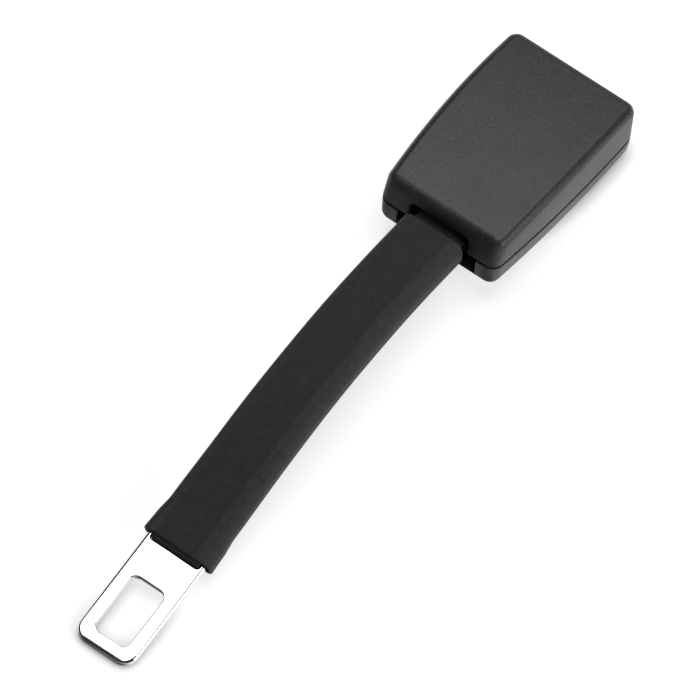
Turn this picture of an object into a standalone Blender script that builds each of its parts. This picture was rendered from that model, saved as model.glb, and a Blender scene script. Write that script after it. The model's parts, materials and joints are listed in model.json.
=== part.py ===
"""Seat belt extender: a push-button buckle, a sleeved webbing loop and a steel tongue plate.

Metres, +Z up. X is across the belt, the tongue's tip is at -Y and the buckle's mouth at +Y.
The stiff belt arches: the tongue's tip and the lower edge of the buckle's mouth end stand on z = 0.
Inside the buckle, positions are (u, v, w): u across, v from the belt end to the mouth, w away from the parting plane.
"""

import math

import bmesh
import bpy
from mathutils import Matrix, Vector

MM = 0.001
GAP = 0.3 * MM              # between pieces that touch
RUNNING = 0.05 * MM         # radial play of a pin in its hole

# Attitude of the two rigid ends and the arch between them
BUCKLE_PITCH = math.radians(8.448)      # mouth end lower than the belt end
TONGUE_PITCH = math.radians(10.2)       # tip lower than the belt end
BELT_PITCH = math.radians(12.78)        # steepest stretch of the belt
BELT_RUN_BUCKLE = 12.4 * MM             # straight stretches and arcs, from the buckle to the tongue
BELT_ARCH_RADIUS = 218.3 * MM
BELT_RUN_MIDDLE = 25.1 * MM
BELT_DIP_RADIUS = 145.0 * MM
TONGUE_STRAIGHT = 46.0 * MM             # straight end stretch, as far as the tip

# Tongue plate
TONGUE_WIDTH = 21.5 * MM
TONGUE_THICK = 2.6 * MM
TONGUE_EDGE = 1.0 * MM                   # rounding of the outer edge, and of the two holes
WINDOW_EDGE = 0.45 * MM
TONGUE_TIP_RADIUS = 5.0 * MM
TONGUE_TIP_BAR = 4.9 * MM
WINDOW_WIDTH = 12.4 * MM
WINDOW_LENGTH = 20.6 * MM
WINDOW_RADIUS = 2.6 * MM
TONGUE_SHOULDER = 39.6 * MM             # where the blade widens to its head
TONGUE_HEAD_WIDTH = 22.4 * MM
TONGUE_SLOT_START = 37.2 * MM
BELT_SLOT_LENGTH = 2.5 * MM
BELT_BAR_LENGTH = 4.0 * MM

# Webbing, its seam and the sleeve
WEBBING_WIDTH = 17.6 * MM
WEBBING_THICK = 1.1 * MM
BELT_SLOT_WIDTH = WEBBING_WIDTH + 0.6 * MM
WEBBING_EASE = 9.5 * MM                # length over which the two layers close up
SEAM_LENGTH = 18.0 * MM
SEAM_WIDTH = 14.0 * MM
SEAM_THREAD = 0.5 * MM
SLEEVE_WALL = 0.85 * MM
SLEEVE_START = 38.9 * MM                # from the tongue's tip
SLEEVE_END = 2.9 * MM                   # short of the housing, where the bare webbing shows
SLEEVE_WIDTHS = ((0.0, 25.1), (0.045, 24.6), (0.1, 23.3), (0.3, 22.8), (0.6, 22.4), (1.0, 22.0))     # share of length, mm
SLEEVE_THICKS = ((0.0, 7.2), (0.1, 7.3), (0.4, 7.8), (0.75, 8.8), (1.0, 9.6))

# Buckle housing
HOUSING_LENGTH = 69.3 * MM
HOUSING_WALL = 2.2 * MM
SIDE_START = 21.72 * MM                 # half width at the belt end, then a shallow arc
SIDE_SLOPE = 0.089
SIDE_CURVE = -0.92                     # per metre
CREASE_START = 6.95 * MM                # height of the side wall above the parting plane, an arc too
CREASE_SLOPE = 0.207
CREASE_CURVE = -2.01
BAND = 2.75 * MM                        # rounded band between side wall and top
FRONT_DEPTH_BELT = 9.7 * MM             # front cover's depth at the two ends
FRONT_DEPTH_MOUTH = 7.74 * MM
FRONT_RADIUS = 4.0 * MM
GROOVE_DEPTH = 1.2 * MM                 # shadow groove along the parting line, half in each cover
GROOVE_HALF = 0.5 * MM
PARTING_EDGE = 0.2 * MM
PARTING_FLARE = 0.2 * MM
BELT_CORNER = 3.8 * MM
BELT_END_DRAFT = 1.2 * MM               # the belt end stands out this much more at the parting plane
MOUTH_CORNER = 3.8 * MM
BACK_NOTCH_HEIGHT = 6.0 * MM
FRONT_NOTCH_HALF = 14.9 * MM
MOUTH_HALF = 15.0 * MM                  # opening in the mouth wall
MOUTH_LOW = 5.2 * MM
MOUTH_HIGH = 7.2 * MM
THUMB_WINDOW_START = HOUSING_LENGTH - 12.4 * MM          # opening in the front cover's face
RIB = 2.0 * MM
BACK_RIB_START = 27.0 * MM

# Steel frame
FRAME_INNER_HALF = 11.5 * MM
FRAME_SHEET = 2.0 * MM
FRAME_OUTER_HALF = FRAME_INNER_HALF + FRAME_SHEET
FRAME_FOLD = 0.4 * MM                   # step at the outer corner of each fold
FRAME_BASE_HALF = FRAME_OUTER_HALF - FRAME_FOLD
FRAME_BASE_LOW = 7.4 * MM
FRAME_START = 15.0 * MM
FRAME_END = HOUSING_LENGTH - 5.3 * MM
FRAME_WALL_START = 18.0 * MM
FRAME_WALL_END = HOUSING_LENGTH - 12.3 * MM
FRAME_WALL_LOW = -4.2 * MM
TOOTH_WINDOW_HALF = 6.2 * MM

# Latch and its pin
PIN_V = 28.0 * MM
PIN_W = 1.3 * MM
PIN_RADIUS = 1.5 * MM
PIN_HEAD_RADIUS = 2.6 * MM
PIN_HEAD = 1.0 * MM
LATCH_THICK = 1.8 * MM
LATCH_LOW = 0.4 * MM
LATCH_END = HOUSING_LENGTH - 20.3 * MM
LATCH_HALF = 7.0 * MM
LATCH_WING_HALF = 10.6 * MM
LATCH_WING_START = HOUSING_LENGTH - 26.3 * MM
TOOTH_START = HOUSING_LENGTH - 24.3 * MM
TOOTH_END = LATCH_END
TOOTH_HALF = 5.0 * MM
TOOTH_TOP = 8.0 * MM
LATCH_SPRING_V = PIN_V + 10.0 * MM

# Ejector
EJECTOR_HALF = 11.2 * MM
EJECTOR_LOW = 4.0 * MM
EJECTOR_HIGH = 7.1 * MM
EJECTOR_FRONT = HOUSING_LENGTH - 20.3 * MM
EJECTOR_BACK = HOUSING_LENGTH - 27.3 * MM
EJECTOR_NOTCH_HALF = 6.0 * MM
EJECTOR_BAR = 3.0 * MM
EJECTOR_TRAVEL = 10.0 * MM
EJECTOR_TAB_HALF = 13.2 * MM

# Button
BUTTON_HALF = MOUTH_HALF - GAP
BUTTON_TOP = 1.2 * MM
BUTTON_LOW = -4.9 * MM
BUTTON_BACK = HOUSING_LENGTH - 6.8 * MM
BUTTON_FACE = HOUSING_LENGTH - 0.4 * MM
SHOULDER_HALF = 19.6 * MM
SHOULDER_INNER = 14.2 * MM
SHOULDER_BACK = HOUSING_LENGTH - 9.3 * MM
SHOULDER_FRONT = HOUSING_LENGTH - 2.7 * MM
SHOULDER_LOW = -2.7 * MM
ARM_INNER = 8.2 * MM
ARM_OUTER = 10.8 * MM
ARM_TIP = HOUSING_LENGTH - 18.8 * MM
ARM_RAMP = 1.2                          # drop of the arm's underside per length
ARM_LOW = -3.3 * MM

# Anchor plate and rivets
ANCHOR_HALF = 12.4 * MM
ANCHOR_BACK = 4.9 * MM
ANCHOR_THICK = 2.6 * MM
ANCHOR_RISE_START = 13.0 * MM
ANCHOR_RISE_END = 18.0 * MM
ANCHOR_END = 25.5 * MM
ANCHOR_NECK_HALF = 11.1 * MM
RIVET_U = 6.5 * MM
RIVET_V = 21.8 * MM
RIVET_RADIUS = 1.9 * MM
RIVET_HEAD_RADIUS = 3.2 * MM
RIVET_HEAD = 1.1 * MM

# Springs
SMALL_WIRE = 0.6 * MM
BUTTON_SPRING_RADIUS = 2.1 * MM
BUTTON_SPRING_U = 17.3 * MM
BUTTON_SPRING_W = -1.6 * MM
BUTTON_SPRING_SEAT = HOUSING_LENGTH - 24.3 * MM
LATCH_SPRING_RADIUS = 2.6 * MM
EJECTOR_SPRING_RADIUS = 1.15 * MM
EJECTOR_SPRING_WIRE = 0.5 * MM

# Tongue guide
GUIDE_START = HOUSING_LENGTH - 11.3 * MM
GUIDE_END = HOUSING_LENGTH - 2.6 * MM
GUIDE_HALF = 15.3 * MM
GUIDE_LOW = 1.5 * MM
GUIDE_HIGH = 10.6 * MM
GUIDE_PATH_HALF = 11.9 * MM
GUIDE_PATH_LOW = 2.2 * MM
GUIDE_SEAT_HALF = FRAME_BASE_HALF + GAP


def linear(hex_colour):
    """sRGB hex to linear rgba."""
    parts = [int(hex_colour[i:i + 2], 16) / 255 for i in (1, 3, 5)]
    return [p / 12.92 if p <= 0.04045 else ((p + 0.055) / 1.055) ** 2.4 for p in parts] + [1.0]


def material(name, hex_colour, roughness, metallic):
    made = bpy.data.materials.new(name)
    made.use_nodes = True
    shader = made.node_tree.nodes["Principled BSDF"]
    shader.inputs["Base Color"].default_value = linear(hex_colour)
    shader.inputs["Roughness"].default_value = roughness
    shader.inputs["Metallic"].default_value = metallic
    made.diffuse_color = linear(hex_colour)
    return made


# Collections and placing

def new_collection(name):
    made = bpy.data.collections.new(name)
    bpy.context.scene.collection.children.link(made)
    return made


def add(name, mesh, finish, parent, origin=(0.0, 0.0, 0.0), sharp=30.0):
    """Puts a mesh, drawn in its parent's frame, in the part with its origin at the given point."""
    mesh.transform(Matrix.Translation(-Vector(origin)))
    mesh.name = name
    mesh.materials.clear()
    mesh.materials.append(finish)
    for polygon in mesh.polygons:
        polygon.use_smooth = True
    mesh.set_sharp_from_angle(angle=math.radians(sharp))
    made = bpy.data.objects.new(name, mesh)
    PARTS.objects.link(made)
    made.parent = parent
    made.location = origin
    return made


def cutter(name, mesh, target, operation="DIFFERENCE"):
    """A wire guide that cuts the target or joins it."""
    guide = bpy.data.objects.new(name, mesh)
    CUTTERS.objects.link(guide)
    guide.parent = target.parent
    guide.display_type = "WIRE"
    guide.hide_render = True
    step = target.modifiers.new(name, "BOOLEAN")
    step.operation = operation
    step.solver = "EXACT"
    step.object = guide
    return guide


def bevel(target, width, segments, angle):
    """Rounds the edges; each convex corner of the outline has a larger radius than the width."""
    step = target.modifiers.new("edge", "BEVEL")
    step.width = width
    step.segments = segments
    step.limit_method = "ANGLE"
    step.angle_limit = math.radians(angle)
    step.use_clamp_overlap = False
    return step


# Flat outlines

def rounded(corners, radii, steps=6):
    """Closed outline through the corners, each rounded by an arc of its radius."""
    points = []
    count = len(corners)
    for i, corner in enumerate(corners):
        here = Vector(corner)
        before = (Vector(corners[i - 1]) - here).normalized()
        after = (Vector(corners[(i + 1) % count]) - here).normalized()
        radius = radii[i] if isinstance(radii, (list, tuple)) else radii
        if radius <= 0:
            points.append(tuple(here))
            continue
        half = before.angle(after) / 2
        reach = radius / math.tan(half)
        centre = here + (before + after).normalized() * (radius / math.sin(half))
        first = here + before * reach - centre
        last = here + after * reach - centre
        turn = math.atan2(first.x * last.y - first.y * last.x, first.dot(last))
        for k in range(steps + 1):
            a = turn * k / steps
            points.append((
                centre.x + first.x * math.cos(a) - first.y * math.sin(a),
                centre.y + first.x * math.sin(a) + first.y * math.cos(a),
            ))
    return points


def rectangle(a0, a1, b0, b1, radius=0.0, steps=6):
    return rounded([(a0, b0), (a1, b0), (a1, b1), (a0, b1)], radius, steps)


def circle(a, b, radius, steps=24):
    turn = 2 * math.pi / steps
    return [(a + radius * math.cos(k * turn), b + radius * math.sin(k * turn)) for k in range(steps)]


PLANES = {
    "uv": Matrix(((1, 0, 0), (0, 1, 0), (0, 0, 1))).to_4x4(),
    "vw": Matrix(((0, 0, 1), (1, 0, 0), (0, 1, 0))).to_4x4(),
    "uw": Matrix(((1, 0, 0), (0, 0, -1), (0, 1, 0))).to_4x4(),
}


def plate(plane, outlines, low, high):
    """A filled flat curve, the first outline less the others, drawn out between two levels."""
    flat = bpy.data.curves.new("outline", "CURVE")
    flat.dimensions = "2D"
    flat.fill_mode = "BOTH"
    flat.extrude = (high - low) / 2
    for outline in outlines:
        spline = flat.splines.new("POLY")
        spline.points.add(len(outline) - 1)
        for point, (a, b) in zip(spline.points, outline):
            point.co = (a, b, 0.0, 1.0)
        spline.use_cyclic_u = True
    middle = (low + high) / 2
    if plane == "uw":
        middle = -middle
    return curve_mesh(flat, PLANES[plane] @ Matrix.Translation((0.0, 0.0, middle)))


def curve_mesh(curve, placing):
    """The closed mesh of a curve, with its caps merged to its walls."""
    holder = bpy.data.objects.new("holder", curve)
    bpy.context.scene.collection.objects.link(holder)
    bpy.context.view_layer.update()
    graph = bpy.context.evaluated_depsgraph_get()
    mesh = bpy.data.meshes.new_from_object(holder.evaluated_get(graph))
    bpy.data.objects.remove(holder)
    bpy.data.curves.remove(curve)
    shape = bmesh.new()
    shape.from_mesh(mesh)
    bmesh.ops.remove_doubles(shape, verts=shape.verts, dist=0.000005)
    bmesh.ops.recalc_face_normals(shape, faces=shape.faces)
    shape.transform(placing)
    shape.to_mesh(mesh)
    shape.free()
    mesh.materials.clear()
    return mesh


def box(u0, u1, v0, v1, w0, w1):
    shape = bmesh.new()
    centre = Vector(((u0 + u1) / 2, (v0 + v1) / 2, (w0 + w1) / 2))
    size = Matrix.Diagonal((u1 - u0, v1 - v0, w1 - w0, 1.0))
    bmesh.ops.create_cube(shape, size=1.0, matrix=Matrix.Translation(centre) @ size)
    mesh = bpy.data.meshes.new("box")
    shape.to_mesh(mesh)
    shape.free()
    return mesh


def turned(profile, axis, centre, steps=24):
    """A closed solid of revolution: profile is (distance along the axis, radius), axis is u or w."""
    along = Vector((1, 0, 0)) if axis == "u" else Vector((0, 0, 1))
    side = Vector((0, 1, 0))
    third = along.cross(side)
    shape = bmesh.new()
    rings = []
    for distance, radius in profile:
        ring = []
        for k in range(steps):
            a = 2 * math.pi * k / steps
            spot = Vector(centre) + along * distance
            ring.append(shape.verts.new(spot + (side * math.cos(a) + third * math.sin(a)) * radius))
        rings.append(ring)
    join_rings(shape, rings)
    shape.faces.new(rings[0])
    shape.faces.new(rings[-1])
    return finish_mesh(shape)


def join_rings(shape, rings):
    for near, far in zip(rings[:-1], rings[1:]):
        count = len(near)
        for k in range(count):
            shape.faces.new((near[k], near[(k + 1) % count], far[(k + 1) % count], far[k]))


def finish_mesh(shape):
    bmesh.ops.recalc_face_normals(shape, faces=shape.faces)
    mesh = bpy.data.meshes.new("solid")
    shape.to_mesh(mesh)
    shape.free()
    return mesh


def coil(start, along, length, radius, wire, turns):
    """A compression spring with closed ends, standing on start."""
    lane = Vector(along).normalized()
    side = lane.orthogonal().normalized()
    third = lane.cross(side)
    dead = 0.75
    steps = int(14 * (turns + 2 * dead))
    curve = bpy.data.curves.new("coil", "CURVE")
    curve.dimensions = "3D"
    curve.bevel_depth = wire / 2
    curve.bevel_resolution = 1
    curve.use_fill_caps = True
    spline = curve.splines.new("POLY")
    spline.points.add(steps)
    total = turns + 2 * dead
    for k in range(steps + 1):
        t = total * k / steps
        rise_low = wire / 2 + min(t, dead) / dead * wire * 1.15 * dead
        rise_high = max(t - total + dead, 0.0) * wire * 1.15
        free = length - wire - 2 * wire * 1.15 * dead
        middle = min(max(t - dead, 0.0), turns) / turns * free
        spot = side * math.cos(2 * math.pi * t) + third * math.sin(2 * math.pi * t)
        point = Vector(start) + spot * radius + lane * (rise_low + middle + rise_high)
        spline.points[k].co = (*point, 1.0)
    return curve_mesh(curve, Matrix.Identity(4))


# The belt's middle line, in the vertical plane of the belt

def belt_stretches():
    """(length, radius or None, sign) from the buckle to the tongue; the heading starts at -BUCKLE_PITCH."""
    arch = BELT_ARCH_RADIUS * (BELT_PITCH + BUCKLE_PITCH)
    dip = BELT_DIP_RADIUS * (BELT_PITCH - TONGUE_PITCH)
    return (
        (BELT_RUN_BUCKLE, None, 0),
        (arch, BELT_ARCH_RADIUS, 1),
        (BELT_RUN_MIDDLE, None, 0),
        (dip, BELT_DIP_RADIUS, -1),
    )


def belt_point(distance):
    """Point (y, z) and heading at a distance from the buckle's origin, in the buckle-origin's level frame."""
    y = 0.0
    z = 0.0
    heading = -BUCKLE_PITCH
    left = distance
    for length, radius, sign in belt_stretches():
        step = min(left, length) if left > 0 else left
        if radius is None:
            y -= step * math.cos(heading)
            z -= step * math.sin(heading)
        else:
            turned_by = sign * step / radius
            y -= sign * radius * (math.sin(heading + turned_by) - math.sin(heading))
            z -= sign * radius * (math.cos(heading) - math.cos(heading + turned_by))
            heading += turned_by
        left -= step
        if left <= 0:
            return y, z, heading
    return y - left * math.cos(heading), z - left * math.sin(heading), heading


def belt_length():
    """From the buckle's origin to the end of the curved stretches."""
    return sum(length for length, _, _ in belt_stretches())


BELT_TOTAL = belt_length() + TONGUE_STRAIGHT


def belt_offset(distance, offset):
    y, z, heading = belt_point(distance)
    return y - math.sin(heading) * offset, z + math.cos(heading) * offset


def smooth(t):
    t = min(max(t, 0.0), 1.0)
    return t * t * (3 - 2 * t)


def interpolate(table, t):
    for (t0, a), (t1, b) in zip(table[:-1], table[1:]):
        if t <= t1:
            return a + (b - a) * smooth((t - t0) / (t1 - t0))
    return table[-1][1]


# Tongue plate, webbing, seam and sleeve

def tongue_outline():
    half = TONGUE_WIDTH / 2
    head = TONGUE_HEAD_WIDTH / 2
    end = TONGUE_SLOT_START + BELT_SLOT_LENGTH + BELT_BAR_LENGTH
    corners = [
        (-half, 0.0), (half, 0.0), (half, TONGUE_SHOULDER), (head, TONGUE_SHOULDER + 1.6 * MM),
        (head, end), (-head, end), (-head, TONGUE_SHOULDER + 1.6 * MM), (-half, TONGUE_SHOULDER),
    ]
    neck = [TONGUE_EDGE, TONGUE_EDGE * 1.4]
    radii = [TONGUE_TIP_RADIUS, TONGUE_TIP_RADIUS] + neck + [TONGUE_EDGE * 1.5] * 2 + neck[::-1]
    return rounded(corners, radii, 8)


def make_tongue(parent, finish):
    window = rectangle(
        -WINDOW_WIDTH / 2, WINDOW_WIDTH / 2,
        TONGUE_TIP_BAR, TONGUE_TIP_BAR + WINDOW_LENGTH, WINDOW_RADIUS, 7,
    )
    slot = rectangle(
        -BELT_SLOT_WIDTH / 2, BELT_SLOT_WIDTH / 2,
        TONGUE_SLOT_START, TONGUE_SLOT_START + BELT_SLOT_LENGTH, 0.9 * MM, 4,
    )
    mesh = plate("uv", [tongue_outline()], -TONGUE_THICK / 2, TONGUE_THICK / 2)
    made = add("tongue_plate", mesh, finish, parent)
    bevel(made, TONGUE_EDGE, 3, 50.0)
    cutter("tongue_window", plate("uv", [window], -TONGUE_THICK, TONGUE_THICK), made)
    cutter("tongue_slot", plate("uv", [slot], -TONGUE_THICK, TONGUE_THICK), made)
    bevel(made, WINDOW_EDGE, 2, 50.0)
    return made


def layer_offset(distance):
    """Half distance between the webbing's two layers: wide round the steel, closed between."""
    apart = TONGUE_THICK / 2 + 0.2 * MM + WEBBING_THICK / 2
    closed = 0.15 * MM + WEBBING_THICK / 2
    from_buckle = smooth((distance - BELT_NEAR) / WEBBING_EASE)
    from_tongue = smooth((BELT_FAR - distance) / WEBBING_EASE)
    return closed + (apart - closed) * max(1 - from_buckle, 1 - from_tongue)


# Where the webbing leaves the two steel bars, measured from the buckle's origin towards the tongue
BELT_NEAR = -ANCHOR_BACK
BELT_FAR = BELT_TOTAL - (TONGUE_SLOT_START + BELT_SLOT_LENGTH + BELT_BAR_LENGTH)


def webbing_outline(extra):
    """Outline of the loop, at the middle of the webbing plus extra, round both bars."""
    points = []
    steps = 46
    first = BELT_NEAR - BELT_BAR_LENGTH + 0.5 * MM
    last = BELT_FAR + BELT_BAR_LENGTH - 0.5 * MM
    for k in range(steps + 1):
        d = first + (last - first) * k / steps
        points.append(belt_offset(d, layer_offset(d) + extra))
    points += turn_round(last, layer_offset(last) + extra, 1)
    for k in range(steps, -1, -1):
        d = first + (last - first) * k / steps
        points.append(belt_offset(d, -layer_offset(d) - extra))
    points += turn_round(first, -layer_offset(first) - extra, -1)
    return points


def turn_round(distance, offset, way):
    """Half turn of the webbing round a bar's rounded end."""
    reach = abs(offset)
    points = []
    for k in range(1, 8):
        a = math.pi * k / 8
        points.append(belt_offset(distance + way * reach * math.sin(a), offset * math.cos(a)))
    return points


def make_webbing(parent, finish):
    half = WEBBING_THICK / 2
    outlines = [webbing_outline(half), webbing_outline(-half)]
    mesh = plate("vw", outlines, -WEBBING_WIDTH / 2, WEBBING_WIDTH / 2)
    return add("webbing", mesh, finish, parent)


def make_seam(parent, finish):
    """Box of stitches on the straight middle stretch, a crossed frame of thread on the upper layer."""
    half_l = SEAM_LENGTH / 2
    half_w = SEAM_WIDTH / 2
    t = SEAM_THREAD
    diagonal = math.hypot(half_l, half_w)
    share_l = t / 2 * diagonal / half_w
    share_w = t / 2 * diagonal / half_l
    outer = rectangle(-half_w, half_w, -half_l, half_l)
    inner_w = half_w - t
    inner_l = half_l - t
    side_l = inner_l - share_l
    side_w = inner_w - share_w
    holes = [
        [(-side_w, -inner_l), (side_w, -inner_l), (0.0, -share_l)],
        [(side_w, inner_l), (-side_w, inner_l), (0.0, share_l)],
        [(inner_w, -side_l), (inner_w, side_l), (share_w, 0.0)],
        [(-inner_w, side_l), (-inner_w, -side_l), (-share_w, 0.0)],
    ]
    arch_end = belt_stretches()[0][0] + belt_stretches()[1][0]
    distance = arch_end + BELT_RUN_MIDDLE / 2
    y, z, heading = belt_point(distance)
    rise = layer_offset(distance) + WEBBING_THICK / 2 + 0.1 * MM
    mesh = plate("uv", [outer] + holes, rise, rise + t)
    made = add("seam_thread", mesh, finish, parent)
    made.location = (0.0, y, z)
    made.rotation_euler = (heading, 0.0, 0.0)
    return made


def sleeve_ring(width, thick, steps=5):
    """Flattened round section, centred on the belt's middle line."""
    radius = min(thick * 0.36, thick / 2 - 0.05 * MM)
    return rectangle(-width / 2, width / 2, -thick / 2, thick / 2, radius, steps)


def make_sleeve(parent, finish):
    start = BELT_TOTAL - SLEEVE_START
    end = SLEEVE_END
    steps = 34
    shape = bmesh.new()
    walls = []
    for inward in (0.0, SLEEVE_WALL):
        rings = []
        for k in range(steps + 1):
            t = k / steps
            share = t * t * 0.35 + t * 0.65
            d = start + (end - start) * share
            width = interpolate(SLEEVE_WIDTHS, share) * MM - 2 * inward
            thick = interpolate(SLEEVE_THICKS, share) * MM - 2 * inward
            ring = []
            for u, offset in sleeve_ring(width, thick):
                y, z = belt_offset(d, offset)
                ring.append(shape.verts.new((u, y, z)))
            rings.append(ring)
        walls.append(rings)
    outer, inner = walls
    join_rings(shape, outer)
    join_rings(shape, inner)
    join_rings(shape, [outer[0], inner[0]])
    join_rings(shape, [outer[-1], inner[-1]])
    return add("sleeve", finish_mesh(shape), finish, parent)


# Buckle housing

def side_half(v):
    return SIDE_START + SIDE_SLOPE * v + SIDE_CURVE * v * v


def crease(v):
    return CREASE_START + CREASE_SLOPE * v + CREASE_CURVE * v * v


def front_depth(v):
    return FRONT_DEPTH_BELT + (FRONT_DEPTH_MOUTH - FRONT_DEPTH_BELT) * v / HOUSING_LENGTH


def plan_side(inset, draft):
    """Right half of the housing's outline, from the belt end to the mouth, moved inwards by inset."""
    points = []
    arc = 6
    sides = 16
    radius = max(BELT_CORNER - inset, 0.5 * MM)
    edge = inset + radius - draft
    centre = (side_half(edge) - inset - radius, edge)
    for k in range(arc):
        a = math.radians(-90 + 90 * k / arc)
        points.append((centre[0] + radius * math.cos(a), centre[1] + radius * math.sin(a)))
    start = edge
    radius = max(MOUTH_CORNER - inset, 0.5 * MM)
    edge = HOUSING_LENGTH - inset - radius
    for k in range(sides + 1):
        v = start + (edge - start) * k / sides
        points.append((side_half(v) - inset, v))
    centre = (side_half(edge) - inset - radius, edge)
    for k in range(1, arc + 1):
        a = math.radians(90 * k / arc)
        points.append((centre[0] + radius * math.cos(a), centre[1] + radius * math.sin(a)))
    return points


def housing_shell(levels_out, levels_in):
    """A closed shell: outer levels from the parting plane to the face, inner levels the same way."""
    shape = bmesh.new()
    walls = []
    for levels in (levels_out, levels_in):
        rings = []
        for inset, draft, height in levels:
            right = [shape.verts.new((u, v, height(v))) for u, v in plan_side(inset, draft)]
            left = [shape.verts.new((-u, v, height(v))) for u, v in plan_side(inset, draft)]
            rings.append((right, left))
        loops = [right + left[::-1] for right, left in rings]
        join_rings(shape, loops)
        right, left = rings[-1]
        for k in range(len(right) - 1):
            shape.faces.new((right[k], right[k + 1], left[k + 1], left[k]))
        walls.append(loops)
    join_rings(shape, [walls[0][0], walls[1][0]])
    return finish_mesh(shape)


def back_levels():
    """(inset, draft, height): the side wall, then the band, steep at the crease and rounding into the top."""
    parting = GAP / 2
    levels = [
        (GROOVE_DEPTH, BELT_END_DRAFT, lambda v: parting),
        (GROOVE_DEPTH, BELT_END_DRAFT, lambda v: GROOVE_HALF),
        (PARTING_EDGE - PARTING_FLARE, BELT_END_DRAFT, lambda v: GROOVE_HALF),
        (-PARTING_FLARE, BELT_END_DRAFT, lambda v: GROOVE_HALF + PARTING_EDGE),
        (0.0, 0.0, crease),
    ]
    for inset, rise in ((0.16, 0.42), (0.40, 0.73), (0.72, 0.92), (1.06, 1.0)):
        levels.append((BAND * inset, 0.0, lambda v, rise=rise: crease(v) + BAND * rise))
    return levels


def back_inner_levels():
    parting = GAP / 2
    return [
        (HOUSING_WALL, BELT_END_DRAFT, lambda v: parting),
        (HOUSING_WALL + 0.2 * MM, 0.0, lambda v: crease(v) - 0.6 * MM),
        (HOUSING_WALL + 1.4 * MM, 0.0, lambda v: crease(v) + BAND - HOUSING_WALL),
    ]


def front_levels():
    parting = -GAP / 2
    levels = [
        (GROOVE_DEPTH, BELT_END_DRAFT, lambda v: parting),
        (GROOVE_DEPTH, BELT_END_DRAFT, lambda v: -GROOVE_HALF),
        (PARTING_EDGE - PARTING_FLARE, BELT_END_DRAFT, lambda v: -GROOVE_HALF),
        (-PARTING_FLARE, BELT_END_DRAFT, lambda v: -GROOVE_HALF - PARTING_EDGE),
    ]
    for k in range(7):
        a = math.radians(90 * k / 6)
        inset = FRONT_RADIUS * (1 - math.cos(a))
        drop = FRONT_RADIUS * (1 - math.sin(a))
        levels.append((inset, BELT_END_DRAFT, lambda v, drop=drop: drop - front_depth(v)))
    return levels


def front_inner_levels():
    parting = -GAP / 2
    return [
        (HOUSING_WALL, BELT_END_DRAFT, lambda v: parting),
        (HOUSING_WALL + 0.3 * MM, BELT_END_DRAFT, lambda v: 2.6 * MM + HOUSING_WALL - front_depth(v)),
        (HOUSING_WALL + 2.4 * MM, BELT_END_DRAFT, lambda v: HOUSING_WALL - front_depth(v)),
    ]


def make_back_cover(parent, finish):
    cover = add("back_cover", housing_shell(back_levels(), back_inner_levels()), finish, parent)
    half = SLEEVE_WIDTHS[-1][1] * MM / 2 + 0.35 * MM
    notch = rectangle(-half, half, -2 * MM, BACK_NOTCH_HEIGHT, 2.0 * MM)
    cutter("belt_notch", plate("uw", [notch], -4 * MM, HOUSING_WALL + 3 * MM), cover)
    mouth = rectangle(-MOUTH_HALF, MOUTH_HALF, -MOUTH_LOW, MOUTH_HIGH, 1.2 * MM)
    cutter("mouth_opening", plate("uw", [mouth], HOUSING_LENGTH - 5 * MM, HOUSING_LENGTH + 2 * MM), cover)
    for side in (-1, 1):
        u = side * 8.5 * MM
        low = FRAME_BASE_LOW + FRAME_SHEET + GAP
        rib = box(u - RIB / 2, u + RIB / 2, BACK_RIB_START, FRAME_WALL_END, low, crease(BACK_RIB_START) + BAND / 2)
        cutter("frame_rib", rib, cover, "UNION")
    return cover


def make_front_cover(parent, finish):
    cover = add("front_cover", housing_shell(front_levels(), front_inner_levels()), finish, parent)
    low = HOUSING_WALL - FRONT_DEPTH_BELT - 0.15 * MM
    notch = rectangle(-FRONT_NOTCH_HALF, FRONT_NOTCH_HALF, low, 3 * MM, 1.2 * MM)
    cutter("belt_notch_front", plate("uw", [notch], -4 * MM, HOUSING_WALL + 2.5 * MM), cover)
    mouth = rectangle(-MOUTH_HALF, MOUTH_HALF, -MOUTH_LOW, MOUTH_HIGH, 0.4 * MM)
    cutter("mouth_opening_front", plate("uw", [mouth], HOUSING_LENGTH - 5 * MM, HOUSING_LENGTH + 2 * MM), cover)
    window = rectangle(-MOUTH_HALF, MOUTH_HALF, THUMB_WINDOW_START, HOUSING_LENGTH + 3 * MM, 2.0 * MM)
    cutter("thumb_window", plate("uv", [window], -20 * MM, -MOUTH_LOW + 1 * MM), cover)
    for side in (-1, 1):
        u = side * (FRAME_INNER_HALF + FRAME_SHEET / 2)
        deep = HOUSING_WALL / 2 - FRONT_DEPTH_BELT
        rib = box(u - RIB / 2, u + RIB / 2, FRAME_WALL_START + 2 * MM, FRAME_WALL_END - 3 * MM,
                  deep + 0.6 * MM, FRAME_WALL_LOW - GAP)
        cutter("frame_rail", rib, cover, "UNION")
        u = side * BUTTON_SPRING_U
        seat = box(u - 2.6 * MM, u + 2.6 * MM, BUTTON_SPRING_SEAT - GAP - 1.6 * MM, BUTTON_SPRING_SEAT - GAP,
                   HOUSING_WALL / 2 - front_depth(BUTTON_SPRING_SEAT), 1.4 * MM)
        cutter("spring_seat", seat, cover, "UNION")
    return cover


# Steel frame, anchor plate and rivets

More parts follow.
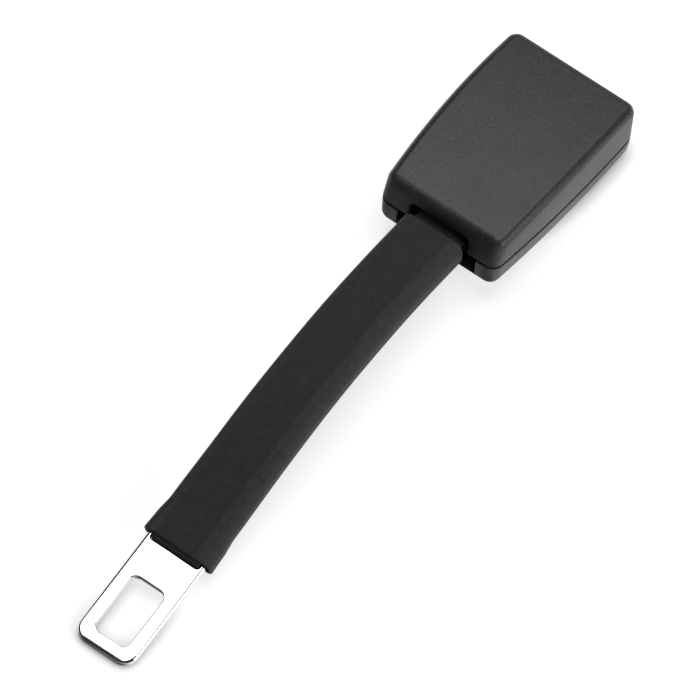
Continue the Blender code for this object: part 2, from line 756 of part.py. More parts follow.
def make_frame(parent, finish):
    """Folded channel: base under the back cover, two walls towards the front cover."""
    tooth = rectangle(
        -TOOTH_WINDOW_HALF, TOOTH_WINDOW_HALF, TOOTH_START - 2.0 * MM, TOOTH_END + 2.0 * MM, 1.0 * MM, 4,
    )
    rivets = [circle(side * RIVET_U, RIVET_V, RIVET_RADIUS + GAP / 3, 20) for side in (-1, 1)]
    outline = rectangle(-FRAME_BASE_HALF, FRAME_BASE_HALF, FRAME_START, FRAME_END, 1.5 * MM)
    base = plate("uv", [outline, tooth] + rivets, FRAME_BASE_LOW, FRAME_BASE_LOW + FRAME_SHEET)
    frame = add("frame", base, finish, parent)
    for side in (-1, 1):
        near, far = sorted((side * FRAME_INNER_HALF, side * FRAME_OUTER_HALF))
        fold = FRAME_BASE_LOW + FRAME_SHEET - FRAME_FOLD
        wall = rounded(
            [(FRAME_WALL_START, fold), (FRAME_WALL_START, FRAME_WALL_LOW),
             (FRAME_WALL_END, FRAME_WALL_LOW), (FRAME_WALL_END, fold)],
            [0.0, 3.0 * MM, 3.0 * MM, 0.0], 4,
        )
        pin = circle(PIN_V, PIN_W, PIN_RADIUS + RUNNING, 24)
        tab = rectangle(
            EJECTOR_BACK + 1.0 * MM - EJECTOR_TRAVEL - GAP, EJECTOR_BACK + 5.0 * MM + GAP,
            EJECTOR_LOW + 0.9 * MM - GAP, EJECTOR_LOW + 2.3 * MM + GAP, 0.5 * MM, 3,
        )
        cutter("frame_wall", plate("vw", [wall, pin, tab], near, far), frame, "UNION")
    return frame


def make_anchor(parent, finish):
    """Flat plate with the belt slot in the parting plane, stepped up to lie under the frame's base."""
    half = ANCHOR_THICK / 2
    rise = FRAME_BASE_LOW - GAP - half
    profile = [
        (ANCHOR_BACK, -half), (ANCHOR_RISE_START, -half), (ANCHOR_RISE_END, rise - half), (ANCHOR_END, rise - half),
        (ANCHOR_END, rise + half), (ANCHOR_RISE_END - 1.6 * MM, rise + half), (ANCHOR_RISE_START - 1.6 * MM, half),
        (ANCHOR_BACK, half),
    ]
    outline = rounded(profile, [0.6 * MM, 2.5 * MM, 1.0 * MM, 0.3 * MM, 0.3 * MM, 2.5 * MM, 1.0 * MM, 0.6 * MM], 4)
    anchor = add("anchor_plate", plate("vw", [outline], -ANCHOR_HALF, ANCHOR_HALF), finish, parent)
    slot_start = ANCHOR_BACK + BELT_BAR_LENGTH
    slot = rectangle(
        -BELT_SLOT_WIDTH / 2, BELT_SLOT_WIDTH / 2, slot_start, slot_start + BELT_SLOT_LENGTH, 0.9 * MM, 4,
    )
    cutter("belt_slot", plate("uv", [slot], -4 * MM, 4 * MM), anchor)
    for side in (-1, 1):
        near, far = sorted((side * ANCHOR_NECK_HALF, side * (ANCHOR_HALF + 2 * MM)))
        edge = box(near, far, ANCHOR_RISE_START, ANCHOR_END + 2 * MM, -4 * MM, 12 * MM)
        cutter("anchor_neck", edge, anchor)
        hole = plate("uv", [circle(side * RIVET_U, RIVET_V, RIVET_RADIUS + GAP / 3, 20)], 1 * MM, 10 * MM)
        cutter("anchor_rivet_hole", hole, anchor)
    return anchor


def make_rivet(name, side, parent, finish):
    low = FRAME_BASE_LOW - GAP - ANCHOR_THICK
    high = FRAME_BASE_LOW + FRAME_SHEET
    profile = [
        (low - GAP - RIVET_HEAD, RIVET_HEAD_RADIUS * 0.6), (low - GAP - RIVET_HEAD * 0.5, RIVET_HEAD_RADIUS),
        (low - GAP, RIVET_HEAD_RADIUS), (low - GAP, RIVET_RADIUS),
        (high + GAP, RIVET_RADIUS), (high + GAP, RIVET_HEAD_RADIUS * 0.9), (high + GAP + 0.5 * MM, RIVET_HEAD_RADIUS * 0.8),
    ]
    return add(name, turned(profile, "w", (side * RIVET_U, RIVET_V, 0.0), 20), finish, parent)


# Latch, pin, clip

def make_latch(parent, finish):
    plan = rounded(
        [(-LATCH_HALF, PIN_V - 2.6 * MM), (LATCH_HALF, PIN_V - 2.6 * MM), (LATCH_HALF, LATCH_WING_START),
         (LATCH_WING_HALF, LATCH_WING_START + 1.5 * MM), (LATCH_WING_HALF, LATCH_END),
         (-LATCH_WING_HALF, LATCH_END), (-LATCH_WING_HALF, LATCH_WING_START + 1.5 * MM), (-LATCH_HALF, LATCH_WING_START)],
        0.5 * MM, 3,
    )
    origin = (0.0, PIN_V, PIN_W)
    latch = add("latch", plate("uv", [plan], LATCH_LOW, LATCH_LOW + LATCH_THICK), finish, parent, origin)
    tooth = rounded(
        [(TOOTH_START, LATCH_LOW + 0.5 * MM), (TOOTH_END, LATCH_LOW + 0.5 * MM), (TOOTH_END, TOOTH_TOP - 2.4 * MM),
         (TOOTH_START + 1.8 * MM, TOOTH_TOP), (TOOTH_START, TOOTH_TOP)],
        [0.0, 0.0, 0.6 * MM, 0.6 * MM, 0.3 * MM], 3,
    )
    cutter("tooth", plate("vw", [tooth], -TOOTH_HALF, TOOTH_HALF), latch, "UNION")
    barrel = circle(PIN_V, PIN_W, PIN_RADIUS + 1.1 * MM, 24)
    cutter("barrel", plate("vw", [barrel], -LATCH_WING_HALF, LATCH_WING_HALF), latch, "UNION")
    bore = circle(PIN_V, PIN_W, PIN_RADIUS + RUNNING, 24)
    cutter("bore", plate("vw", [bore], -LATCH_WING_HALF - 1 * MM, LATCH_WING_HALF + 1 * MM), latch)
    return latch


def make_latch_pin(parent, finish):
    outer = FRAME_OUTER_HALF
    profile = [
        (-outer - 2.0 * MM, PIN_RADIUS * 0.8), (-outer - 1.7 * MM, PIN_RADIUS),
        (outer + GAP, PIN_RADIUS), (outer + GAP, PIN_HEAD_RADIUS), (outer + GAP + PIN_HEAD, PIN_HEAD_RADIUS * 0.85),
    ]
    return add("latch_pin", turned(profile, "u", (0.0, PIN_V, PIN_W)), finish, parent)


def make_pin_clip(parent, finish):
    """Open clip that grips the pin's plain end."""
    mouth = math.radians(35)
    outer = []
    inner = []
    for k in range(21):
        a = math.pi / 2 + mouth + (2 * math.pi - 2 * mouth) * k / 20
        outer.append((PIN_V + 2.7 * MM * math.cos(a), PIN_W + 2.7 * MM * math.sin(a)))
        inner.append((PIN_V + (PIN_RADIUS + 0.1 * MM) * math.cos(a), PIN_W + (PIN_RADIUS + 0.1 * MM) * math.sin(a)))
    far = -FRAME_OUTER_HALF - GAP
    return add("pin_clip", plate("vw", [outer + inner[::-1]], far - 0.7 * MM, far), finish, parent)


# Ejector, guide and button

def make_ejector(parent, finish):
    """Fork that straddles the tooth, with two tabs that slide in the frame's walls."""
    front = EJECTOR_FRONT
    back = EJECTOR_BACK
    tab_near = back + 1.0 * MM
    tab_far = back + 5.0 * MM
    plan = rounded(
        [(-EJECTOR_HALF, back), (EJECTOR_HALF, back), (EJECTOR_HALF, front), (EJECTOR_NOTCH_HALF, front),
         (EJECTOR_NOTCH_HALF, back + EJECTOR_BAR), (-EJECTOR_NOTCH_HALF, back + EJECTOR_BAR),
         (-EJECTOR_NOTCH_HALF, front), (-EJECTOR_HALF, front)],
        [0.8 * MM, 0.8 * MM, 0.8 * MM, 0.8 * MM, 1.0 * MM, 1.0 * MM, 0.8 * MM, 0.8 * MM], 3,
    )
    ejector = add("ejector", plate("uv", [plan], EJECTOR_LOW, EJECTOR_HIGH), finish, parent, (0.0, back, EJECTOR_LOW))
    tabs = box(-EJECTOR_TAB_HALF, EJECTOR_TAB_HALF, tab_near, tab_far - 1.0 * MM,
               EJECTOR_LOW + 0.9 * MM, EJECTOR_LOW + 2.3 * MM)
    cutter("ejector_tabs", tabs, ejector, "UNION")
    notch = box(-EJECTOR_NOTCH_HALF, EJECTOR_NOTCH_HALF, back + EJECTOR_BAR, front + 2 * MM,
                EJECTOR_LOW - 2 * MM, EJECTOR_HIGH + 2 * MM)
    cutter("ejector_notch", notch, ejector)
    return ejector


def make_guide(parent, finish):
    """Ring round the frame's front edge, with a flared lead-in for a tongue below the base."""
    outer = rectangle(-GUIDE_HALF, GUIDE_HALF, GUIDE_LOW, GUIDE_HIGH, 1.2 * MM, 4)
    path = [
        (-GUIDE_PATH_HALF, GUIDE_PATH_LOW), (GUIDE_PATH_HALF, GUIDE_PATH_LOW),
        (GUIDE_PATH_HALF, FRAME_BASE_LOW - GAP), (GUIDE_SEAT_HALF, FRAME_BASE_LOW - GAP),
        (GUIDE_SEAT_HALF, FRAME_BASE_LOW + FRAME_SHEET + GAP), (-GUIDE_SEAT_HALF, FRAME_BASE_LOW + FRAME_SHEET + GAP),
        (-GUIDE_SEAT_HALF, FRAME_BASE_LOW - GAP), (-GUIDE_PATH_HALF, FRAME_BASE_LOW - GAP),
    ]
    guide = add("tongue_guide", plate("uw", [outer, path], GUIDE_START, GUIDE_END), finish, parent)
    return guide


def button_profile():
    """Side view: flat top under the tongue path, scooped face at the mouth."""
    return rounded(
        [(BUTTON_BACK, BUTTON_LOW), (BUTTON_FACE, BUTTON_LOW), (BUTTON_FACE, BUTTON_TOP), (BUTTON_BACK, BUTTON_TOP)],
        [0.4 * MM, 1.2 * MM, 1.0 * MM, 0.4 * MM], 4,
    )


def make_button(parent, finish):
    origin = (0.0, BUTTON_BACK, 0.0)
    button = add("release_button", plate("vw", [button_profile()], -BUTTON_HALF, BUTTON_HALF), finish, parent, origin)
    shoulders = box(-SHOULDER_HALF, SHOULDER_HALF, BUTTON_BACK + 0.5 * MM, SHOULDER_FRONT, SHOULDER_LOW, 0.9 * MM)
    cutter("button_shoulders", shoulders, button, "UNION")
    pad = rounded(
        [(BUTTON_BACK + 0.6 * MM, BUTTON_LOW + 1.0 * MM), (BUTTON_BACK + 0.6 * MM, BUTTON_LOW - 1.9 * MM),
         (BUTTON_FACE - 1.6 * MM, BUTTON_LOW - 1.7 * MM), (BUTTON_FACE, BUTTON_LOW + 1.0 * MM)],
        [0.0, 0.5 * MM, 1.0 * MM, 0.0], 4,
    )
    cutter("button_pad", plate("vw", [pad], -BUTTON_HALF, BUTTON_HALF), button, "UNION")
    for side in (-1, 1):
        near, far = sorted((side * SHOULDER_INNER, side * SHOULDER_HALF))
        lug = box(near, far, SHOULDER_BACK, BUTTON_BACK + 1.0 * MM, SHOULDER_LOW, 0.9 * MM)
        cutter("button_lug", lug, button, "UNION")
        near, far = sorted((side * ARM_INNER, side * ARM_OUTER))
        top = BUTTON_TOP - 0.01 * MM
        ramp_end = ARM_TIP + (top - 0.2 * MM - ARM_LOW) / ARM_RAMP
        arm = [(ARM_TIP, top), (ARM_TIP, top - 0.2 * MM), (ramp_end, ARM_LOW),
               (BUTTON_BACK + 1.0 * MM, ARM_LOW), (BUTTON_BACK + 1.0 * MM, top)]
        cutter("button_arm", plate("vw", [arm], near, far), button, "UNION")
    return button


def make_springs(parent, finish):
    for name, side in (("button_spring_left", -1), ("button_spring_right", 1)):
        length = SHOULDER_BACK - GAP - BUTTON_SPRING_SEAT
        spring = coil((0, 0, 0), (0, 1, 0), length, BUTTON_SPRING_RADIUS, SMALL_WIRE, 6)
        made = add(name, spring, finish, parent)
        made.location = (side * BUTTON_SPRING_U, BUTTON_SPRING_SEAT, BUTTON_SPRING_W)
    floor = HOUSING_WALL - front_depth(LATCH_SPRING_V) + GAP
    spring = coil((0, 0, 0), (0, 0, 1), LATCH_LOW - GAP - floor, LATCH_SPRING_RADIUS, SMALL_WIRE, 3)
    made = add("latch_spring", spring, finish, parent)
    made.location = (0.0, LATCH_SPRING_V, floor)
    start = ANCHOR_END + GAP
    length = EJECTOR_BACK - GAP - start
    spring = coil((0, 0, 0), (0, 1, 0), length, EJECTOR_SPRING_RADIUS, EJECTOR_SPRING_WIRE, 8)
    made = add("ejector_spring", spring, finish, parent)
    made.location = (0.0, start, (EJECTOR_LOW + EJECTOR_HIGH) / 2)


# Standing the object on the floor

def clear_scene():
    for old in list(bpy.data.objects):
        bpy.data.objects.remove(old)


def empty(name, parent):
    made = bpy.data.objects.new(name, None)
    PARTS.objects.link(made)
    made.parent = parent
    return made


def measured_box():
    bpy.context.view_layer.update()
    graph = bpy.context.evaluated_depsgraph_get()
    low = Vector((1e9, 1e9, 1e9))
    high = -low
    for thing in PARTS.objects:
        if thing.type != "MESH":
            continue
        shaped = thing.evaluated_get(graph)
        for vertex in shaped.data.vertices:
            spot = shaped.matrix_world @ vertex.co
            low = Vector(map(min, low, spot))
            high = Vector(map(max, high, spot))
    return low, high


def build():
    black = "#2b2b2c"
    housing = material("housing_plastic", black, 0.62, 0.0)
    front = material("front_plastic", "#262627", 0.62, 0.0)
    red = material("button_plastic", "#b3201c", 0.45, 0.0)
    steel = material("zinc_plated_steel", "#9a9c9e", 0.38, 1.0)
    hard = material("latch_steel", "#6f7173", 0.42, 1.0)
    wire = material("spring_wire", "#85878a", 0.35, 1.0)
    white = material("ejector_plastic", "#d8d6cf", 0.5, 0.0)
    grey = material("guide_plastic", "#1d1d1e", 0.5, 0.0)
    chrome = material("chromed_steel", "#d9dbdd", 0.12, 1.0)
    weave = material("polyester_webbing", "#1a1a1b", 0.85, 0.0)
    thread = material("polyester_thread", "#242425", 0.7, 0.0)
    rubber = material("sleeve_plastic", "#262627", 0.7, 0.0)

    root = empty("stand", None)
    buckle = empty("buckle_frame", root)
    buckle.rotation_euler = (-BUCKLE_PITCH, 0.0, 0.0)
    tongue = empty("tongue_frame", root)
    y, z, heading = belt_point(BELT_TOTAL)
    tongue.location = (0.0, y, z)
    tongue.rotation_euler = (heading, 0.0, 0.0)

    make_back_cover(buckle, housing)
    make_front_cover(buckle, front)
    make_frame(buckle, steel)
    make_anchor(buckle, steel)
    make_rivet("anchor_rivet_left", -1, buckle, steel)
    make_rivet("anchor_rivet_right", 1, buckle, steel)
    make_latch(buckle, hard)
    make_latch_pin(buckle, steel)
    make_pin_clip(buckle, wire)
    make_ejector(buckle, white)
    make_guide(buckle, grey)
    make_button(buckle, red)
    make_springs(buckle, wire)
    make_tongue(tongue, chrome)
    make_webbing(root, weave)
    make_seam(root, thread)
    make_sleeve(root, rubber)

    low, high = measured_box()
    root.location = (-(low.x + high.x) / 2, -(low.y + high.y) / 2, -low.z)
    bpy.context.view_layer.update()
    for name, place in (("buckle", buckle), ("tongue", tongue)):
        print(name, "frame at", [round(c, 6) for c in place.matrix_world.translation])
    print("size", [round(c, 5) for c in high - low])


clear_scene()
PARTS = new_collection("seat_belt_extender")
CUTTERS = new_collection("cutters")
build()
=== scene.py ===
"""Looks of the seat belt extender: materials, soft sleeve, woven webbing, floor, lamps and camera.

Metres, +Z up. The frame gives the bodies and the plain solids; every piece made here rides on one
of them.
"""

import json
import math

import bmesh
import bpy
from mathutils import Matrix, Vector


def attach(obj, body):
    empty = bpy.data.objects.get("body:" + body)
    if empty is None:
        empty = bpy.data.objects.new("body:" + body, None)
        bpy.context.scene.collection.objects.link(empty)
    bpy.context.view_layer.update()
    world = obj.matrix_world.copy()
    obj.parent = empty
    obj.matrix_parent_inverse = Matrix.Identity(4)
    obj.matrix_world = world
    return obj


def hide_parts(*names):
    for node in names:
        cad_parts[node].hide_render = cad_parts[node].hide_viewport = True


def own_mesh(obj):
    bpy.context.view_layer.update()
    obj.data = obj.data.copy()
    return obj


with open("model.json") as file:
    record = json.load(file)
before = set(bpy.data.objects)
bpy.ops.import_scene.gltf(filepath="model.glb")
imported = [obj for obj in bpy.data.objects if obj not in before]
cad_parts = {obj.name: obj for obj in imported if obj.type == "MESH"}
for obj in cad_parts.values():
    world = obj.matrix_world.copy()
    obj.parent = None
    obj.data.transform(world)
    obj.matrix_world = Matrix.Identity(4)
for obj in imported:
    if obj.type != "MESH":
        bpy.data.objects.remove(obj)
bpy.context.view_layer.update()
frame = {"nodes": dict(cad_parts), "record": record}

MM = 0.001

# Attitude of the buckle and the arch of the belt, as in the part's source
BUCKLE = Vector((0.0, 0.049285, 0.017361))
BUCKLE_PITCH = math.radians(8.448)
BELT_PITCH = math.radians(12.78)
TONGUE_PITCH = math.radians(10.2)
RUN_BUCKLE = 12.4 * MM
ARCH_RADIUS = 218.3 * MM
RUN_MIDDLE = 25.1 * MM
DIP_RADIUS = 145.0 * MM
TONGUE_STRAIGHT = 46.0 * MM

# Tongue plate's belt bar and the buckle's anchor bar
TONGUE_THICK = 2.6 * MM
SLOT_START = 37.2 * MM
SLOT_LENGTH = 2.5 * MM
BAR_LENGTH = 4.0 * MM
ANCHOR_BACK = 4.9 * MM

# Webbing
WEBBING_WIDTH = 17.6 * MM
WEBBING_THICK = 1.1 * MM
WEBBING_EASE = 9.5 * MM
SELVEDGE = 0.48 * MM
LAYER_GAP_AT_STEEL = 0.2 * MM
LAYER_GAP_CLOSED = 0.15 * MM
BAR_SETBACK = 0.5 * MM
FOLD_SETBACK = 0.25 * MM
RIB_HEIGHT = 0.03 * MM
RIB_PITCH = 2.2 * MM
WEBBING_PRESSED = 0.94
LOOP_STEPS = 150
TURN_STEPS = 16
WEBBING_SECTION_STEPS = (4, 30, 2)

# Sleeve: widths and thicknesses by share of its length from the tongue end, in mm
SLEEVE_START = 38.9 * MM
SLEEVE_END = 2.9 * MM
SLEEVE_WALL = 0.85 * MM
SLEEVE_SIDE = 3.0 * MM
SLEEVE_RISE = 0.38
SLEEVE_LEAST_EDGE = 0.05 * MM
SLEEVE_WIDTHS = ((0.0, 25.1), (0.045, 24.6), (0.1, 23.3), (0.3, 22.8), (0.6, 22.4), (1.0, 22.0))
SLEEVE_THICKS = ((0.0, 7.2), (0.1, 7.3), (0.4, 7.8), (0.75, 8.8), (1.0, 9.6))
SLEEVE_STEPS = 150
LIP_STEPS = 6
SLEEVE_SECTION_STEPS = (11, 20, 2)

# The sleeve's broad faces sink a little between its edges, less so at the buckle, and ripple slowly
HOLLOW_DEPTH = 0.16 * MM
HOLLOW_FADE = 0.6
RIPPLE_HEIGHT = 0.035 * MM
RIPPLE_ALONG = 6.3 * MM
RIPPLE_ACROSS = 4.1 * MM


# The belt's middle line

def belt_stretches():
    """(length, radius, sense) from the buckle to the tongue; radius None is straight."""
    return (
        (RUN_BUCKLE, None, 0),
        (ARCH_RADIUS * (BELT_PITCH + BUCKLE_PITCH), ARCH_RADIUS, 1),
        (RUN_MIDDLE, None, 0),
        (DIP_RADIUS * (BELT_PITCH - TONGUE_PITCH), DIP_RADIUS, -1),
    )


BELT_TOTAL = sum(length for length, _, _ in belt_stretches()) + TONGUE_STRAIGHT
BELT_NEAR = -ANCHOR_BACK
BELT_FAR = BELT_TOTAL - (SLOT_START + SLOT_LENGTH + BAR_LENGTH)


def belt_point(distance):
    """(y, z) in the row frame and the heading at a distance from the buckle's belt end."""
    y = BUCKLE.y
    z = BUCKLE.z
    heading = -BUCKLE_PITCH
    left = distance
    for length, radius, sense in belt_stretches():
        step = min(left, length)
        if radius is None:
            y -= step * math.cos(heading)
            z -= step * math.sin(heading)
        else:
            turned = sense * step / radius
            y -= sense * radius * (math.sin(heading + turned) - math.sin(heading))
            z -= sense * radius * (math.cos(heading) - math.cos(heading + turned))
            heading += turned
        left -= step
        if left <= 0:
            return y, z, heading
    return y - left * math.cos(heading), z - left * math.sin(heading), heading


def belt_line(distance):
    """Point of the middle line and the unit direction that lifts off its upper side."""
    y, z, heading = belt_point(distance)
    return Vector((0.0, y, z)), Vector((0.0, -math.sin(heading), math.cos(heading)))


def smooth(t):
    """Ease from 0 to 1."""
    t = min(max(t, 0.0), 1.0)
    return t * t * (3 - 2 * t)


def interpolate(table, t):
    """Value at t from a table of (t, value), eased between its rows."""
    for (t0, a), (t1, b) in zip(table[:-1], table[1:]):
        if t <= t1:
            return a + (b - a) * smooth((t - t0) / (t1 - t0))
    return table[-1][1]


# Nodes

def feed(tree, socket, value):
    """Links a socket to a node's output, or sets its value."""
    if isinstance(value, bpy.types.NodeSocket):
        tree.links.new(value, socket)
    else:
        socket.default_value = value


def add(tree, kind, inputs, **settings):
    """Adds a node: settings are its own, inputs go to its sockets as values or as links."""
    made = tree.nodes.new(kind)
    for name, value in settings.items():
        setattr(made, name, value)
    for name, value in inputs.items():
        feed(tree, made.inputs[name], value)
    return made


# Sweep: one node tree draws the sleeve and the webbing from a closed guide line and a section

# Sizes that the tree takes by name, with what they are where a piece says nothing
SWEEP_SIZES = {
    "Pressed": 1.0,
    "Hollow": 0.0,
    "Ripple": 0.0,
    "Ripple Along": 1.0,
    "Ripple Across": 1.0,
    "Rib": 0.0,
    "Rib Pitch": 1.0,
}

# What the guide line (and, for unit, the section) says at each of its points
GUIDE_SAYS = {
    "unit": "FLOAT_VECTOR",
    "spot": "FLOAT_VECTOR",
    "lift": "FLOAT_VECTOR",
    "core": "FLOAT_VECTOR",
    "corner": "FLOAT_VECTOR",
    "run": "FLOAT",
    "slack": "FLOAT",
}


def sweep_inputs(tree):
    """Gives the tree its named inputs and returns them as sockets."""
    tree.interface.new_socket(name="Geometry", in_out="INPUT", socket_type="NodeSocketGeometry")
    tree.interface.new_socket(name="Section", in_out="INPUT", socket_type="NodeSocketObject")
    tree.interface.new_socket(name="Material", in_out="INPUT", socket_type="NodeSocketMaterial")
    for name, usual in SWEEP_SIZES.items():
        socket = tree.interface.new_socket(name=name, in_out="INPUT", socket_type="NodeSocketFloat")
        socket.default_value = usual
    tree.interface.new_socket(name="Geometry", in_out="OUTPUT", socket_type="NodeSocketGeometry")
    return add(tree, "NodeGroupInput", {}).outputs


def section_place(tree, says):
    """(across, up, nearness to the middle) of each point, from the unit square at this station's sizes."""
    one = Vector((1.0, 1.0, 1.0))
    inner = add(tree, "ShaderNodeVectorMath", {0: says["unit"], 1: one}, operation="MINIMUM").outputs[0]
    inner = add(tree, "ShaderNodeVectorMath", {0: inner, 1: -one}, operation="MAXIMUM").outputs[0]
    outer = add(tree, "ShaderNodeVectorMath", {0: says["unit"], 1: inner}, operation="SUBTRACT").outputs[0]
    straight = add(tree, "ShaderNodeVectorMath", {0: inner, 1: says["core"]}, operation="MULTIPLY").outputs[0]
    place = add(tree, "ShaderNodeVectorMath", {
        0: outer, 1: says["corner"], 2: straight,
    }, operation="MULTIPLY_ADD")
    half = add(tree, "ShaderNodeVectorMath", {0: says["core"], 1: says["corner"]}, operation="ADD").outputs[0]
    across, up, _ = add(tree, "ShaderNodeSeparateXYZ", {0: place.outputs[0]}).outputs
    half_width = add(tree, "ShaderNodeSeparateXYZ", {0: half}).outputs["X"]
    share = add(tree, "ShaderNodeMath", {0: across, 1: half_width}, operation="DIVIDE").outputs[0]
    square = add(tree, "ShaderNodeMath", {0: share, 1: share}, operation="MULTIPLY").outputs[0]
    middle = add(tree, "ShaderNodeMath", {0: 1.0, 1: square}, operation="SUBTRACT").outputs[0]
    return across, up, middle


def surface_height(tree, says, sizes, across, up, middle):
    """Height over the guide line: the pressed section with its ribs, hollow faces and slow ripple."""
    side = add(tree, "ShaderNodeMath", {0: up}, operation="SIGN").outputs[0]
    turn = add(tree, "ShaderNodeMath", {0: across, 1: sizes["Rib Pitch"]}, operation="DIVIDE").outputs[0]
    turn = add(tree, "ShaderNodeMath", {0: turn, 1: math.tau}, operation="MULTIPLY").outputs[0]
    wave = add(tree, "ShaderNodeMath", {0: turn}, operation="COSINE").outputs[0]
    rib = add(tree, "ShaderNodeMath", {0: wave, 1: sizes["Rib"]}, operation="MULTIPLY").outputs[0]
    sunk = add(tree, "ShaderNodeMath", {0: middle, 1: sizes["Hollow"]}, operation="MULTIPLY").outputs[0]
    sunk = add(tree, "ShaderNodeMath", {0: sunk, 1: says["slack"]}, operation="MULTIPLY").outputs[0]
    relief = add(tree, "ShaderNodeMath", {0: rib, 1: sunk}, operation="SUBTRACT").outputs[0]
    relief = add(tree, "ShaderNodeMath", {0: relief, 1: side}, operation="MULTIPLY").outputs[0]
    along = add(tree, "ShaderNodeMath", {
        0: says["run"], 1: sizes["Ripple Along"],
    }, operation="DIVIDE").outputs[0]
    turn = add(tree, "ShaderNodeMath", {0: across, 1: sizes["Ripple Across"]}, operation="DIVIDE").outputs[0]
    turn = add(tree, "ShaderNodeMath", {0: along, 1: turn}, operation="ADD").outputs[0]
    wave = add(tree, "ShaderNodeMath", {0: turn}, operation="SINE").outputs[0]
    ripple = add(tree, "ShaderNodeMath", {0: wave, 1: sizes["Ripple"]}, operation="MULTIPLY").outputs[0]
    ripple = add(tree, "ShaderNodeMath", {0: ripple, 1: middle}, operation="MULTIPLY").outputs[0]
    relief = add(tree, "ShaderNodeMath", {0: relief, 1: ripple}, operation="ADD").outputs[0]
    flat = add(tree, "ShaderNodeMath", {0: up, 1: sizes["Pressed"]}, operation="MULTIPLY").outputs[0]
    return add(tree, "ShaderNodeMath", {0: flat, 1: relief}, operation="ADD").outputs[0]


def sweep_tree():
    """Node tree that sweeps the section round the guide line and keeps along and across in mm."""
    tree = bpy.data.node_groups.new("belt_sweep", "GeometryNodeTree")
    sizes = sweep_inputs(tree)
    says = {}
    for name, kind in GUIDE_SAYS.items():
        reader = add(tree, "GeometryNodeInputNamedAttribute", {"Name": name}, data_type=kind)
        says[name] = reader.outputs["Attribute"]
    guide = add(tree, "GeometryNodeMeshToCurve", {"Mesh": sizes["Geometry"]}).outputs["Curve"]
    drawn = add(tree, "GeometryNodeObjectInfo", {"Object": sizes["Section"]}).outputs["Geometry"]
    section = add(tree, "GeometryNodeMeshToCurve", {"Mesh": drawn}).outputs["Curve"]
    tube = add(tree, "GeometryNodeCurveToMesh", {"Curve": guide, "Profile Curve": section}).outputs["Mesh"]
    across, up, middle = section_place(tree, says)
    height = surface_height(tree, says, sizes, across, up, middle)
    raised = add(tree, "ShaderNodeVectorMath", {
        0: says["lift"], "Scale": height,
    }, operation="SCALE").outputs[0]
    sideways = add(tree, "ShaderNodeCombineXYZ", {"X": across}).outputs[0]
    place = add(tree, "ShaderNodeVectorMath", {0: says["spot"], 1: sideways}, operation="ADD").outputs[0]
    place = add(tree, "ShaderNodeVectorMath", {0: place, 1: raised}, operation="ADD").outputs[0]
    tube = add(tree, "GeometryNodeSetPosition", {"Geometry": tube, "Position": place}).outputs[0]
    for name, value in (("along_mm", says["run"]), ("across_mm", across)):
        in_mm = add(tree, "ShaderNodeMath", {0: value, 1: MM}, operation="DIVIDE").outputs[0]
        tube = add(tree, "GeometryNodeStoreNamedAttribute", {
            "Geometry": tube, "Name": name, "Value": in_mm,
        }, data_type="FLOAT", domain="POINT").outputs[0]
    tube = add(tree, "GeometryNodeSetShadeSmooth", {"Geometry": tube}).outputs[0]
    tube = add(tree, "GeometryNodeRealizeInstances", {"Geometry": tube}).outputs[0]
    tube = add(tree, "GeometryNodeSetMaterial", {"Geometry": tube, "Material": sizes["Material"]}).outputs[0]
    add(tree, "NodeGroupOutput", {"Geometry": tube})
    return tree


def unit_section(corner_steps, side_steps, end_steps):
    """Closed square 4 wide with corners of radius 1, as stations; the tree gives it its real sizes."""
    points = []
    for quarter, (u, w) in enumerate(((1, 1), (-1, 1), (-1, -1), (1, -1))):
        for k in range(corner_steps + 1):
            angle = math.radians(90 * (quarter + k / corner_steps))
            points.append((u + math.cos(angle), w + math.sin(angle)))
        # The straight side runs on from the corner's last point
        steps = end_steps if quarter % 2 else side_steps
        for k in range(1, steps):
            gone = 2 * k / steps
            points.append((
                u + math.cos(angle) - math.sin(angle) * gone, w + math.sin(angle) + math.cos(angle) * gone,
            ))
    return [{"unit": Vector((u, w, 0.0))} for u, w in points]


def closed_line(name, place, stations):
    """Guide: a ring of edges through the stations' places, with all that they say as attributes."""
    mesh = bpy.data.meshes.new(name)
    count = len(stations)
    ring = [(k, (k + 1) % count) for k in range(count)]
    mesh.from_pydata([station[place] for station in stations], ring, [])
    for label in stations[0]:
        layer = mesh.attributes.new(label, GUIDE_SAYS[label], "POINT")
        if GUIDE_SAYS[label] == "FLOAT":
            layer.data.foreach_set("value", [station[label] for station in stations])
        else:
            layer.data.foreach_set("vector", [part for station in stations for part in station[label]])
    thing = bpy.data.objects.new(name, mesh)
    bpy.context.scene.collection.objects.link(thing)
    return thing


def sweep(tree, name, stations, section_steps, finish, sizes):
    """Closed body swept by the node tree: a plain mesh, faces outwards, with the guides removed."""
    guide = closed_line(name + "_guide", "spot", stations)
    section = closed_line(name + "_section", "unit", unit_section(*section_steps))
    values = {"Section": section, "Material": FINISHES[finish], **sizes}
    modifier = guide.modifiers.new("sweep", "NODES")
    modifier.node_group = tree
    for socket in tree.interface.items_tree:
        if socket.name in values:
            modifier[socket.identifier] = values[socket.name]
    drawn = guide.evaluated_get(bpy.context.evaluated_depsgraph_get())
    mesh = bpy.data.meshes.new_from_object(drawn)
    mesh.name = name
    for label in GUIDE_SAYS:
        mesh.attributes.remove(mesh.attributes[label])
    for helper in (guide, section):
        bpy.data.objects.remove(helper)
    shape = bmesh.new()
    shape.from_mesh(mesh)
    bmesh.ops.recalc_face_normals(shape, faces=shape.faces)
    shape.to_mesh(mesh)
    shape.free()
    thing = bpy.data.objects.new(name, mesh)
    bpy.context.scene.collection.objects.link(thing)
    return thing


# Sleeve

